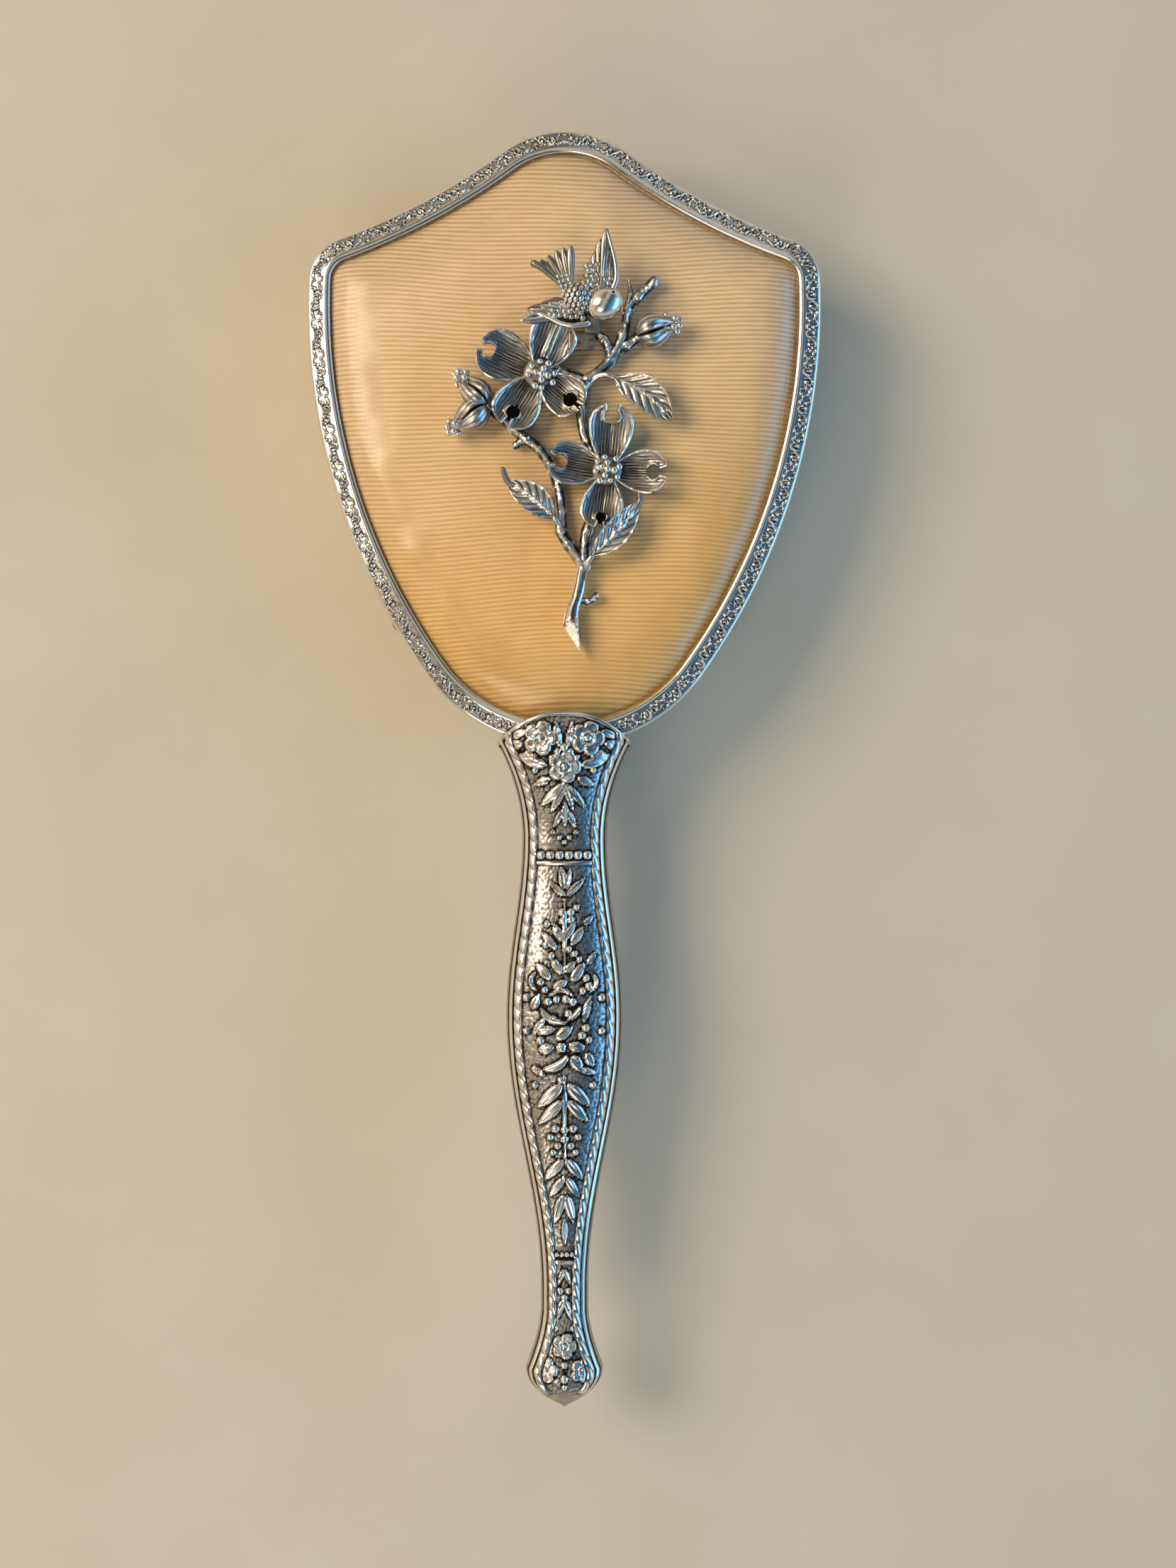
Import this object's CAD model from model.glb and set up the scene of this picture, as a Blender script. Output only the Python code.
"""Dressed model of a dresser-set hairbrush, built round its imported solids.

Metres in Blender; the sizes in this file are millimetres and are turned to metres when a mesh is
written. The brush lies on its bristle tips at z = 0, decorated back up, head towards +Y.
"""

import logging
import math
from dataclasses import dataclass
from enum import Enum
from typing import Any, Callable, Iterable, Optional, Sequence

import bpy
import numpy as np
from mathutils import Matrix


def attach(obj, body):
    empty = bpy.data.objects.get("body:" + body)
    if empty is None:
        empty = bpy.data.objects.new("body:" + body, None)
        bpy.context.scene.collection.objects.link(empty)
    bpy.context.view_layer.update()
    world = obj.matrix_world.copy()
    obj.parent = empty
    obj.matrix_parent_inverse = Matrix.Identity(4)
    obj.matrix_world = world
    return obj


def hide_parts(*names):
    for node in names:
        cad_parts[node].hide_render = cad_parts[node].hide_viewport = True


Array = np.ndarray
Piece = bpy.types.Object
Material = bpy.types.Material
Tree = bpy.types.NodeTree
Node = bpy.types.Node
Spot = tuple[float, float]
Route = Sequence[Sequence[float]]

LOG = logging.getLogger("hairbrush")
MM = 0.001
BODY = "root"
TAU = 2.0 * math.pi
GOLDEN_ANGLE = math.pi * (3 - math.sqrt(5))
UP = np.array([0.0, 0.0, 1.0])
# Degrees past which faces meet in a crease: on stamped and cast work, on bristles, on round beads
CREASE, BRISTLE_CREASE, BEAD_CREASE = 40.0, 60.0, 80.0
# Height of a cast bead as a share of its width
BEAD_HEIGHT = 0.92
# How polished the underside of a thin casting is
UNDERSIDE_SHINE = 0.2
# Degrees at which rows round off each end of a tube
CAP_STEPS = (90.0, 65.0, 35.0)

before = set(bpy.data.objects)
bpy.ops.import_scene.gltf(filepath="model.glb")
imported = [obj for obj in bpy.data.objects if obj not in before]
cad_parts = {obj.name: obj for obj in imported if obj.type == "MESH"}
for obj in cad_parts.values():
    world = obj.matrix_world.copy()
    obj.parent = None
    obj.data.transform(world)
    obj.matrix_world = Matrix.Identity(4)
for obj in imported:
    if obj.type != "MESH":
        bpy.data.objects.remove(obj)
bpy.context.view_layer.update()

# Heights of the layers, as in the part's source
FRAME_BACK_Z = 16.5
BLOCK_FACE_Z = 15.0
WINDOW_FLANGE_Z = 26.0
RIM_TOP_Z = 26.8
HANDLE_Z = 22.0
STEM_FOOT_Z = 30.5
STEM_Z = 31.56
FLOWER_Z = 33.31
BIRD_Z = 36.81


# Mesh tools


def metres(*sizes: float) -> tuple[float, ...]:
    """Sizes in millimetres, turned to metres."""
    return tuple(size * MM for size in sizes)


def select_only(*pieces: Piece) -> None:
    """Selects these pieces only.

    Args:
        pieces: The pieces; the first becomes the active one.
    """
    bpy.ops.object.select_all(action="DESELECT")
    for piece in pieces:
        piece.select_set(True)
    bpy.context.view_layer.objects.active = pieces[0]


def edit(piece: Piece, *steps: Callable[[], Any]) -> None:
    """Runs edit-mode steps on a whole piece.

    Args:
        piece: The mesh.
        steps: Calls of operators, in order.
    """
    select_only(piece)
    bpy.ops.object.mode_set(mode="EDIT")
    bpy.ops.mesh.select_all(action="SELECT")
    for step in steps:
        step()
    bpy.ops.object.mode_set(mode="OBJECT")


def weld() -> None:
    """Closes seams and poles, in edit mode."""
    bpy.ops.mesh.remove_doubles(threshold=2e-6)


def face_out() -> None:
    """Turns every face outwards, in edit mode."""
    bpy.ops.mesh.normals_make_consistent(inside=False)


def modify(piece: Piece, kind: str, **settings: Any) -> None:
    """Adds and applies a modifier.

    Args:
        piece: The mesh.
        kind: Blender's name for the modifier.
        settings: Its settings.
    """
    select_only(piece)
    bpy.ops.object.modifier_add(type=kind)
    modifier = piece.modifiers[-1]
    for key, value in settings.items():
        setattr(modifier, key, value)
    bpy.ops.object.modifier_apply(modifier=modifier.name)


def smooth(piece: Piece, degrees: float = CREASE) -> None:
    """Shades a piece smooth, with creases kept where faces meet more sharply than the angle."""
    select_only(piece)
    bpy.ops.object.shade_smooth_by_angle(angle=math.radians(degrees))


def join(pieces: Sequence[Piece], name: str) -> Piece:
    """Joins pieces into one mesh, at the origin.

    Args:
        pieces: The pieces.
        name: Name of the whole.

    Returns:
        The whole.
    """
    select_only(*pieces)
    bpy.ops.object.transform_apply(location=True, rotation=True, scale=True)
    if len(pieces) > 1:
        bpy.ops.object.join()
    piece = bpy.context.view_layer.objects.active
    piece.name = piece.data.name = name
    return piece


def add(shape: str, name: str, **settings: Any) -> Piece:
    """Adds a primitive, with nothing else selected.

    Args:
        shape: Blender's name for it.
        name: Name of the piece.
        settings: Its size, divisions and place, in metres.

    Returns:
        The piece.
    """
    bpy.ops.object.select_all(action="DESELECT")
    getattr(bpy.ops.mesh, f"primitive_{shape}_add")(**settings)
    piece = bpy.context.active_object
    piece.name = piece.data.name = name
    return piece


def set_relief(piece: Piece, values: Any) -> None:
    """Stores how proud the points stand, from 0 in a sooty hollow to 1 on a polished crest."""
    store = piece.data.attributes.get("relief") or piece.data.attributes.new("relief", "FLOAT", "POINT")
    store.data.foreach_set("value", np.broadcast_to(values, len(piece.data.vertices)).astype(np.float32))


def corners(piece: Piece) -> Array:
    """Places of a mesh's points.

    Args:
        piece: The mesh.

    Returns:
        One row of three a point, in metres.
    """
    flat = np.empty(len(piece.data.vertices) * 3)
    piece.data.vertices.foreach_get("co", flat)
    return flat.reshape(-1, 3)


def lay_grid(name: str, points: Array, relief: Any = 1.0, closed: bool = True) -> Piece:
    """Adds a grid primitive and moves its points to their places.

    Args:
        name: Name of the piece.
        points: Places in millimetres, rows by columns by three.
        relief: How proud the points stand, one value or rows by columns.
        closed: True where the grid folds round to a closed skin.

    Returns:
        The piece, welded and facing outwards where it is closed.
    """
    rows, columns, _ = points.shape
    piece = add("grid", name, x_subdivisions=columns - 1, y_subdivisions=rows - 1, size=2.0)
    share = (corners(piece)[:, :2] + 1) / 2
    column, row = np.rint(share * (columns - 1, rows - 1)).astype(int).T
    piece.data.vertices.foreach_set("co", (points[row, column] * MM).ravel())
    set_relief(piece, np.broadcast_to(relief, (rows, columns))[row, column])
    piece.data.update()
    if closed:
        edit(piece, weld, face_out)
    smooth(piece)
    return piece


def duplicate(piece: Piece) -> Piece:
    """Copies a piece with its mesh.

    Args:
        piece: The piece.

    Returns:
        The copy.
    """
    copy = piece.copy()
    copy.data = piece.data.copy()
    bpy.context.collection.objects.link(copy)
    return copy


def copies(piece: Piece, spots: Iterable[Sequence[float]], name: str) -> Piece:
    """Copies a piece to each spot, each copy with its own mesh, and joins them.

    Args:
        piece: The piece, modelled at the origin; it is used up.
        spots: Places in millimetres, each with a scale.
        name: Name of the group.

    Returns:
        The group.
    """
    group = []
    for *spot, scale in spots:
        copy = duplicate(piece)
        copy.location = metres(*spot)
        copy.scale = (scale,) * 3
        group.append(copy)
    bpy.data.objects.remove(piece)
    return join(group, name)


def bead(name: str, radius: float, relief: float = 1.0, segments: int = 16) -> Piece:
    """Small bead at the origin, a little flattened as a cast one is.

    Args:
        name: Name of the piece.
        radius: Radius in millimetres.
        relief: How polished it is.
        segments: Divisions round it.

    Returns:
        The bead.
    """
    piece = add("uv_sphere", name, segments=segments, ring_count=segments // 2, radius=radius * MM)
    edit(piece, lambda: bpy.ops.transform.resize(value=(1.0, 1.0, BEAD_HEIGHT)))
    set_relief(piece, relief)
    smooth(piece, BEAD_CREASE)
    return piece


def dress(piece: Piece, material: Material) -> None:
    """Gives a piece its one material."""
    piece.data.materials.clear()
    piece.data.materials.append(material)


def place(piece: Piece, material: Material, slot: str, *nodes: str) -> None:
    """Finishes a piece, makes it ride on the brush and lets it stand for its solids.

    Args:
        piece: The piece.
        material: Its finish.
        slot: The record's material slot.
        nodes: The solids.
    """
    dress(piece, material)
    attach(piece, BODY)
    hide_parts(*nodes)
    LOG.info("%s: %d faces", piece.name, len(piece.data.polygons))


# Curves


def ease(share: Any) -> Any:
    """Smooth change from 0 to 1."""
    return (1 - np.cos(np.pi * np.clip(share, 0.0, 1.0))) / 2


def ridge(offset: Any, width: float) -> Any:
    """Rounded ridge: 1 on its line, fading out over a width on each side."""
    return np.exp(-((offset / width) ** 2))


def heading(foot: Sequence[float], tip: Sequence[float]) -> tuple[float, Array, Array]:
    """Length of the way from one spot to another, and the level directions ahead and to the left."""
    length, (dx, dy) = math.dist(foot, tip), np.subtract(tip, foot)
    return length, np.array([dx, dy, 0.0]) / length, np.array([-dy, dx, 0.0]) / length


def lay_out(base: Sequence[float], *runs: tuple[Any, Array]) -> Array:
    """Points reached from a base by runs, each a distance and the direction that it is taken in."""
    return sum((np.asarray(run)[..., None] * way for run, way in runs), np.asarray(base))


def curve_through(spots: Route, count: int) -> Array:
    """Smooth curve through spots.

    Args:
        spots: Places that it passes.
        count: How many points to give.

    Returns:
        Points along the curve.
    """
    knots = np.array(spots, float)
    padded = np.vstack([2 * knots[0] - knots[1], knots, 2 * knots[-1] - knots[-2]])
    at = np.linspace(0, len(knots) - 1, count)
    index = np.minimum(at.astype(int), len(knots) - 2)
    t = (at - index)[:, None]
    a, b, c, d = (padded[index + i] for i in range(4))
    return b + t * ((c - a) / 2 + t * (a - 2.5 * b + 2 * c - d / 2 + t * (1.5 * (b - c) + (d - a) / 2)))


def capped(values: Array) -> Array:
    """Values along a path, with its ends repeated for a tube's rounded ends."""
    return np.concatenate([values[:1]] * len(CAP_STEPS) + [values] + [values[-1:]] * len(CAP_STEPS))


def tube(path: Array, radii: Array, sides: int) -> Array:
    """Closed tube along a path, rounded off at both ends.

    Args:
        path: Points of its centre line.
        radii: Radius at each point.
        sides: Divisions round it.

    Returns:
        Rows by columns by three.
    """
    ahead = np.gradient(path, axis=0)
    ahead /= np.linalg.norm(ahead, axis=1)[:, None] + 1e-12
    across = np.cross(ahead, UP)
    across /= np.linalg.norm(across, axis=1)[:, None] + 1e-12
    over = np.cross(across, ahead)
    steps = np.radians(CAP_STEPS)
    reach, size = np.sin(steps), np.cos(steps)
    start = path[0] - reach[:, None] * radii[0] * ahead[0]
    end = path[-1] + reach[::-1, None] * radii[-1] * ahead[-1]
    line = np.vstack([start, path, end])
    wide = np.concatenate([radii[0] * size, radii, radii[-1] * size[::-1]])
    turn = np.linspace(0, TAU, sides + 1)[None, :, None]
    ring = np.cos(turn) * capped(across)[:, None] + np.sin(turn) * capped(over)[:, None]
    return line[:, None] + wide[:, None, None] * ring


def rod(name: str, route: Route, ends: Spot, count: int, sides: int, shine: float) -> Piece:
    """Polished rod along a smooth route, tapering from one end's radius to the other's."""
    return lay_grid(name, tube(curve_through(route, count), np.linspace(*ends, count), sides), shine)


# Materials


def linear(colour: str) -> tuple[float, ...]:
    """Linear red, green and blue of an sRGB hex value, and an alpha of 1."""
    parts = [int(colour[i : i + 2], 16) / 255 for i in (1, 3, 5)]
    return (*(c / 12.92 if c <= 0.04045 else ((c + 0.055) / 1.055) ** 2.4 for c in parts), 1.0)


def per(size_mm: float) -> float:
    """Scale of a pattern whose features are this many millimetres across."""
    return 1 / (size_mm * MM)


def wire(tree: Tree, target: Node, settings: dict, links: dict) -> Node:
    """Sets a node's values and links what feeds it.

    Args:
        tree: The node tree.
        target: The node.
        settings: Values by socket name or number, and properties by name.
        links: For each socket an output, or a node for its first output in use.

    Returns:
        The node.
    """
    for key, value in settings.items():
        if isinstance(key, int) or key in target.inputs:
            target.inputs[key].default_value = value
        else:
            setattr(target, key, value)
    for key, source in links.items():
        if isinstance(source, Node):
            source = next(output for output in source.outputs if output.enabled)
        tree.links.new(source, target.inputs[key])
    return target


def node(tree: Tree, kind: str, settings: Optional[dict] = None, links: Optional[dict] = None) -> Node:
    """Adds a node with its settings and links, which are given as to wire."""
    return wire(tree, tree.nodes.new(f"ShaderNode{kind}"), settings or {}, links or {})


def start_material(name: str) -> tuple[Material, Tree, Node, bpy.types.NodeSocket]:
    """Starts a material.

    Args:
        name: Its name.

    Returns:
        The material, its tree, its shader, and the output with each point's place.
    """
    material = bpy.data.materials.new(name)
    material.use_nodes = True
    tree = material.node_tree
    return material, tree, tree.nodes["Principled BSDF"], node(tree, "TexCoord").outputs["Object"]


# A range that eases in and out
SMOOTH = {"interpolation_type": "SMOOTHSTEP"}


class Gloss(Enum):
    """How a silver surface was made, as the depth of its pits in millimetres."""

    STAMPED = 0.012
    CAST = 0.04


@dataclass(frozen=True)
class AntiqueSilver:
    """Silver plate, blackened and then rubbed back: bright crests and sooty hollows."""

    name: str
    gloss: Gloss
    bright: str
    soot: str
    tarnish: str
    roughness: float
    soot_until: float
    clean_from: float
    cloud_mm: float = 9.0
    grime_mm: float = 1.6
    scratch_mm: float = 2.0
    pit_mm: float = 0.35

    def material(self) -> Material:
        """Builds the finish, which reads the piece's own relief.

        Returns:
            The material.
        """
        material, tree, shader, spot = start_material(self.name)
        relief = node(tree, "Attribute", {"attribute_name": "relief"}).outputs["Fac"]
        # Tarnish gathers in clouds a finger's breadth across
        cloud = node(tree, "TexNoise", {"Scale": per(self.cloud_mm), "Detail": 4.0}, {"Vector": spot})
        haze = node(tree, "MapRange", {"From Min": 0.45, "From Max": 0.8, "To Max": 0.5}, {"Value": cloud})
        tones = {"data_type": "RGBA", 6: linear(self.bright), 7: linear(self.tarnish)}
        plate = node(tree, "Mix", tones, {0: haze})
        # Soot stays where the polishing cloth can't reach
        grime = node(tree, "TexNoise", {"Scale": per(self.grime_mm), "Detail": 3.0}, {"Vector": spot})
        reach = node(tree, "Math", {"operation": "MULTIPLY_ADD", 1: 0.24}, {0: grime, 2: relief})
        rubbed = {"From Min": self.soot_until, "From Max": self.clean_from}
        clean = node(tree, "MapRange", rubbed | SMOOTH, {"Value": reach})
        colour = node(tree, "Mix", {"data_type": "RGBA", 6: linear(self.soot)}, {0: clean, 7: plate})
        # Handling leaves hairline scratches, seven times as long as wide, that blur the shine a little
        turned = {"Scale": (1.0, 7.0, 1.0), "Rotation": (0.0, 0.0, 0.5)}
        slanted = node(tree, "Mapping", turned, {"Vector": spot})
        scratch = node(tree, "TexNoise", {"Scale": per(self.scratch_mm), "Detail": 6.0}, {"Vector": slanted})
        blur = {"From Min": 0.35, "From Max": 0.75}
        blur |= {"To Min": self.roughness * 0.75, "To Max": self.roughness * 1.6}
        rough = node(tree, "MapRange", blur, {"Value": scratch})
        dull = node(tree, "MapRange", {"To Min": 0.3, "To Max": 0.0}, {"Value": clean})
        total = node(tree, "Math", {"operation": "ADD"}, {0: rough, 1: dull})
        pits = node(tree, "TexNoise", {"Scale": per(self.pit_mm), "Detail": 2.0}, {"Vector": spot})
        bump = node(tree, "Bump", {"Strength": 0.5, "Distance": self.gloss.value * MM}, {"Height": pits})
        wire(tree, shader, {"Metallic": 1.0}, {"Base Color": colour, "Roughness": total, "Normal": bump})
        return material


@dataclass(frozen=True)
class ClearAcetate:
    """Vacuum-formed cellulose acetate: clear and faintly warm, its gloss rubbed to a soft shine."""

    name: str = "vacuum_formed_acetate"
    tint: str = "#FFFAF0"
    ior: float = 1.47
    rub_mm: float = 12.0
    dent_mm: float = 11.0

    def material(self) -> Material:
        """Builds the clear finish, which lets lamps shine through to the cloth.

        Returns:
            The material.
        """
        material, tree, shader, spot = start_material(self.name)
        # Rubbing leaves faint dull patches on the crest
        rub = node(tree, "TexNoise", {"Scale": per(self.rub_mm), "Detail": 6.0}, {"Vector": spot})
        blur = {"From Min": 0.38, "From Max": 0.62, "To Min": 0.17, "To Max": 0.27}
        rough = node(tree, "MapRange", blur, {"Value": rub})
        # Forming leaves slow dents that break the highlights
        dents = node(tree, "TexNoise", {"Scale": per(self.dent_mm), "Detail": 1.0}, {"Vector": spot})
        bump = node(tree, "Bump", {"Strength": 1.0, "Distance": 0.0009}, {"Height": dents})
        clear = {"Base Color": linear(self.tint), "Transmission Weight": 1.0, "IOR": self.ior}
        wire(tree, shader, clear, {"Roughness": rough, "Normal": bump})
        shadow = node(tree, "LightPath").outputs["Is Shadow Ray"]
        passed = node(tree, "BsdfTransparent", {"Color": (0.95, 0.94, 0.92, 1.0)})
        mixed = node(tree, "MixShader", {}, {0: shadow, 1: shader, 2: passed})
        wire(tree, tree.nodes["Material Output"], {}, {"Surface": mixed})
        return material


@dataclass(frozen=True)
class RibbedFaille:
    """Peach-gold faille: fine glossy warp over thick weft cords, with watered darker streaks."""

    name: str = "ribbed_faille"
    crest: str = "#D9B56F"
    valley: str = "#AE7F3E"
    streak: str = "#BE974F"
    faded: str = "#D6C4A8"
    streak_mm: float = 14.0
    slub_mm: float = 1.2
    thread_mm: float = 0.25

    def material(self) -> Material:
        """Builds the cloth, coloured by the ribs that the mesh carries.

        Returns:
            The material.
        """
        material, tree, shader, spot = start_material(self.name)
        rib = node(tree, "Attribute", {"attribute_name": "relief"}).outputs["Fac"]
        # Watered streaks run down the cloth, across the cords
        down = node(tree, "Mapping", {"Scale": (1.0, 0.22, 1.0)}, {"Vector": spot})
        watered = {"Scale": per(self.streak_mm), "Detail": 5.0, "Distortion": 0.6}
        water = node(tree, "TexNoise", watered, {"Vector": down})
        shade = node(tree, "MapRange", {"From Min": 0.4, "From Max": 0.72, "To Max": 0.65}, {"Value": water})
        tones = {"data_type": "RGBA", 6: linear(self.crest), 7: linear(self.streak)}
        crest = node(tree, "Mix", tones, {0: shade})
        # Light has bleached the cloth towards the crown
        parts = node(tree, "SeparateXYZ", {}, {0: spot}).outputs
        slant = node(tree, "Math", {"operation": "MULTIPLY_ADD", 1: -0.2}, {0: parts["X"], 2: parts["Y"]})
        fading = {"From Min": 0.025, "From Max": 0.085, "To Max": 0.8}
        fade = node(tree, "MapRange", fading | SMOOTH, {"Value": slant})
        bleached = node(tree, "Mix", {"data_type": "RGBA", 7: linear(self.faded)}, {0: fade, 6: crest})
        # Slubs break each cord into lighter and darker lengths
        along = node(tree, "Mapping", {"Scale": (0.25, 1.0, 1.0)}, {"Vector": spot})
        slub = node(tree, "TexNoise", {"Scale": per(self.slub_mm), "Detail": 4.0}, {"Vector": along})
        lift = node(tree, "Math", {"operation": "MULTIPLY_ADD", 1: 0.55, 2: -0.27}, {0: slub})
        height = node(tree, "Math", {"operation": "ADD"}, {0: rib, 1: lift})
        blend = node(tree, "MapRange", {"From Min": -0.3, "From Max": 0.8}, {"Value": height})
        colour = node(tree, "Mix", {"data_type": "RGBA", 6: linear(self.valley)}, {0: blend, 7: bleached})
        # Warp threads; at a scale of 1 a wave repeats every TAU / 20
        threads = {"bands_direction": "X", "Distortion": 1.5, "Detail": 2.0}
        threads["Scale"] = per(self.thread_mm) / 20 * TAU
        warp = node(tree, "TexWave", threads, {"Vector": spot}).outputs["Fac"]
        bump = node(tree, "Bump", {"Strength": 0.3, "Distance": 0.00006}, {"Height": warp})
        sheen = {"Roughness": 0.5, "Sheen Weight": 0.25, "Sheen Roughness": 0.4}
        wire(tree, shader, sheen, {"Base Color": colour, "Normal": bump})
        return material


class Grain(Enum):
    """Direction and stretch of a plain material's figure."""

    EVEN = (1.0, 1.0, 1.0)
    LONG = (6.0, 0.6, 6.0)


@dataclass(frozen=True)
class PlainStuff:
    """A plain working material: two tones mixed by a figure of real size, with a fine surface."""

    name: str
    light: str
    dark: str
    roughness: float
    figure_mm: float
    grain: Grain = Grain.EVEN
    metallic: float = 0.0
    ior: float = 1.5
    bump_mm: float = 0.02
    subsurface: float = 0.0

    def material(self) -> Material:
        """Builds the finish from its two tones, figure and roughness.

        Returns:
            The material.
        """
        material, tree, shader, spot = start_material(self.name)
        mapping = node(tree, "Mapping", {"Scale": self.grain.value}, {"Vector": spot})
        figure = node(tree, "TexNoise", {"Scale": per(self.figure_mm), "Detail": 5.0}, {"Vector": mapping})
        share = node(tree, "MapRange", {"From Min": 0.3, "From Max": 0.7}, {"Value": figure})
        tones = {"data_type": "RGBA", 6: linear(self.light), 7: linear(self.dark)}
        colour = node(tree, "Mix", tones, {0: share})
        blur = {"To Min": self.roughness * 0.85, "To Max": self.roughness * 1.15}
        rough = node(tree, "MapRange", blur, {"Value": figure})
        bump = node(tree, "Bump", {"Strength": 0.4, "Distance": self.bump_mm * MM}, {"Height": figure})
        base = {"Metallic": 1.0} if self.metallic else {"Metallic": 0.0, "IOR": self.ior}
        if self.subsurface:
            base |= {"Subsurface Weight": self.subsurface, "Subsurface Scale": 0.001}
        wire(tree, shader, base, {"Base Color": colour, "Roughness": rough, "Normal": bump})
        return material


# Plate over stamped brass: bright crests, with soot in the fine hollows
STAMPED_SILVER = AntiqueSilver(
    "stamped_silver_plate", Gloss.STAMPED, "#F0ECE5", "#221B14", "#CFC3AC", 0.15, 0.15, 0.75
)
# Plate over cast white metal: pitted, and sooty everywhere but on the crests
CAST_SILVER = AntiqueSilver(
    "cast_antique_silver", Gloss.CAST, "#F0EBE2", "#17120D", "#B0A38A", 0.18, 0.15, 0.98
)
# Pressed paper board: dull, fibrous and grey-brown
PRESSED_CARD = PlainStuff("pressed_card", "#B9A78A", "#94815F", 0.9, 3.0, bump_mm=0.05)
# Tinned steel sheet: soft grey shine with a spangle
TINPLATE = PlainStuff("hot_dipped_tinplate", "#C9CBCB", "#9DA1A3", 0.35, 6.0, metallic=1.0)
# Moulded plastic, aged to ivory: satin with a faint clouding
IVORY_PLASTIC = PlainStuff("moulded_ivory_plastic", "#EDE3CC", "#DFD0B0", 0.38, 5.0, subsurface=0.1)
# Drawn nylon filament: milky and satin, some filaments yellower than others
NYLON_BRISTLE = PlainStuff("drawn_nylon_bristle", "#F0E8D8", "#D8CBB2", 0.42, 1.5, ior=1.53)
# Drawn steel wire: fine lengthwise die lines
STEEL_WIRE = PlainStuff("drawn_steel_wire", "#B8B6B1", "#86837D", 0.32, 1.0, Grain.LONG, metallic=1.0)
# Rolled brass strip: warm yellow with rolling lines along it
BRASS_STRIP = PlainStuff("rolled_brass_strip", "#C9A24E", "#A37E35", 0.3, 2.0, Grain.LONG, metallic=1.0)
# Turned beech: pale pink-brown with short darker flecks along the grain
BEECH = PlainStuff("turned_beech", "#D8B88C", "#B48E5F", 0.6, 4.0, Grain.LONG)
# Matt floor paint: even, with a slow change of tone
FLOOR_PAINT = PlainStuff("painted_floor", "#DCD0B8", "#D7CAB1", 0.8, 40.0)
CARRIED_OVER = {
    "former_card": PRESSED_CARD,
    "backing_plate": TINPLATE,
    "bristle_block": IVORY_PLASTIC,
    "tuft_anchors": STEEL_WIRE,
    "side_brads": STEEL_WIRE,
    "tang": BRASS_STRIP,
    "tang_rivets": BRASS_STRIP,
    "handle_core": BEECH,
    "push_nuts": STEEL_WIRE,
}


# Head


@dataclass(frozen=True)
class Shield:
    """Outline of the head: tangent arcs from the crown round to the lower tip."""

    top_y: float = 120.0
    half_width: float = 48.1
    widest_below_top: float = 32.7
    crown_radius: float = 20.0
    crown_slope: float = 36.0
    shoulder_radius: float = 124.0
    corner_radius: float = 8.5
    side_radius: float = 119.0
    tip_radius: float = 31.8

    def arcs(self) -> list[tuple[Array, float, int, float, float]]:
        """The right half's arcs.

        Returns:
            For each arc its centre, radius, +1 if convex or -1 if hollow, and its two angles.
        """
        slope = math.radians(self.crown_slope)
        crown = np.array([0.0, self.top_y - self.crown_radius])
        out = np.array([math.sin(slope), math.cos(slope)])
        shoulder = crown + (self.crown_radius + self.shoulder_radius) * out
        side = np.array([self.half_width - self.side_radius, self.top_y - self.widest_below_top])
        from_side = self.side_radius - self.corner_radius
        from_shoulder = self.shoulder_radius + self.corner_radius
        link = shoulder - side
        span = np.linalg.norm(link)
        along = (from_side**2 - from_shoulder**2 + span**2) / (2 * span)
        across = math.sqrt(from_side**2 - along**2)
        corner = side + (along * link + across * np.array([link[1], -link[0]])) / span
        drop = math.sqrt((self.side_radius - self.tip_radius) ** 2 - side[0] ** 2)
        tip = np.array([0.0, side[1] - drop])

        def angle(start: Array, end: Array) -> float:
            """Direction from one point to another."""
            return math.atan2(end[1] - start[1], end[0] - start[0])

        turn = angle(crown, shoulder)
        low = angle(shoulder, corner)
        level = angle(side, corner)
        under = angle(side, tip)
        return [
            (crown, self.crown_radius, 1, math.pi / 2, turn),
            (shoulder, self.shoulder_radius, -1, turn - math.pi, low),
            (corner, self.corner_radius, 1, low + math.pi, level),
            (side, self.side_radius, 1, level, under),
            (tip, self.tip_radius, 1, under, -math.pi / 2),
        ]

    def lengths(self) -> Array:
        """Length of each of the right half's arcs."""
        return np.array([radius * abs(end - start) for _, radius, _, start, end in self.arcs()])

    def walk(self, shares: Array) -> tuple[Array, Array, Array]:
        """Walks round the outline from the crown, by the right side.

        Args:
            shares: Shares of the way round.

        Returns:
            Points, outward directions and distances from the crown's top.
        """
        lengths = self.lengths()
        marks = np.concatenate([[0.0], np.cumsum(lengths)])
        mirrored = shares > 0.5
        distance = np.where(mirrored, 1 - shares, shares) * 2 * marks[-1]
        index = np.clip(np.searchsorted(marks, distance, side="right") - 1, 0, len(lengths) - 1)
        centre, radius, sign, start, end = (np.array(column)[index] for column in zip(*self.arcs()))
        at = start + (distance - marks[index]) / lengths[index] * (end - start)
        out = np.column_stack([np.cos(at), np.sin(at)])
        flip = np.column_stack([np.where(mirrored, -1.0, 1.0), np.ones_like(at)])
        return (centre + radius[:, None] * out) * flip, sign[:, None] * out * flip, distance

    def inset(self, depth: float, share: float, count: int) -> Array:
        """Outline moved inwards by a depth, as far as a share of the way round, in count points."""
        points, normals, _ = self.walk(np.linspace(0, share, count))
        return points - depth * normals


SHIELD = Shield()


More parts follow.
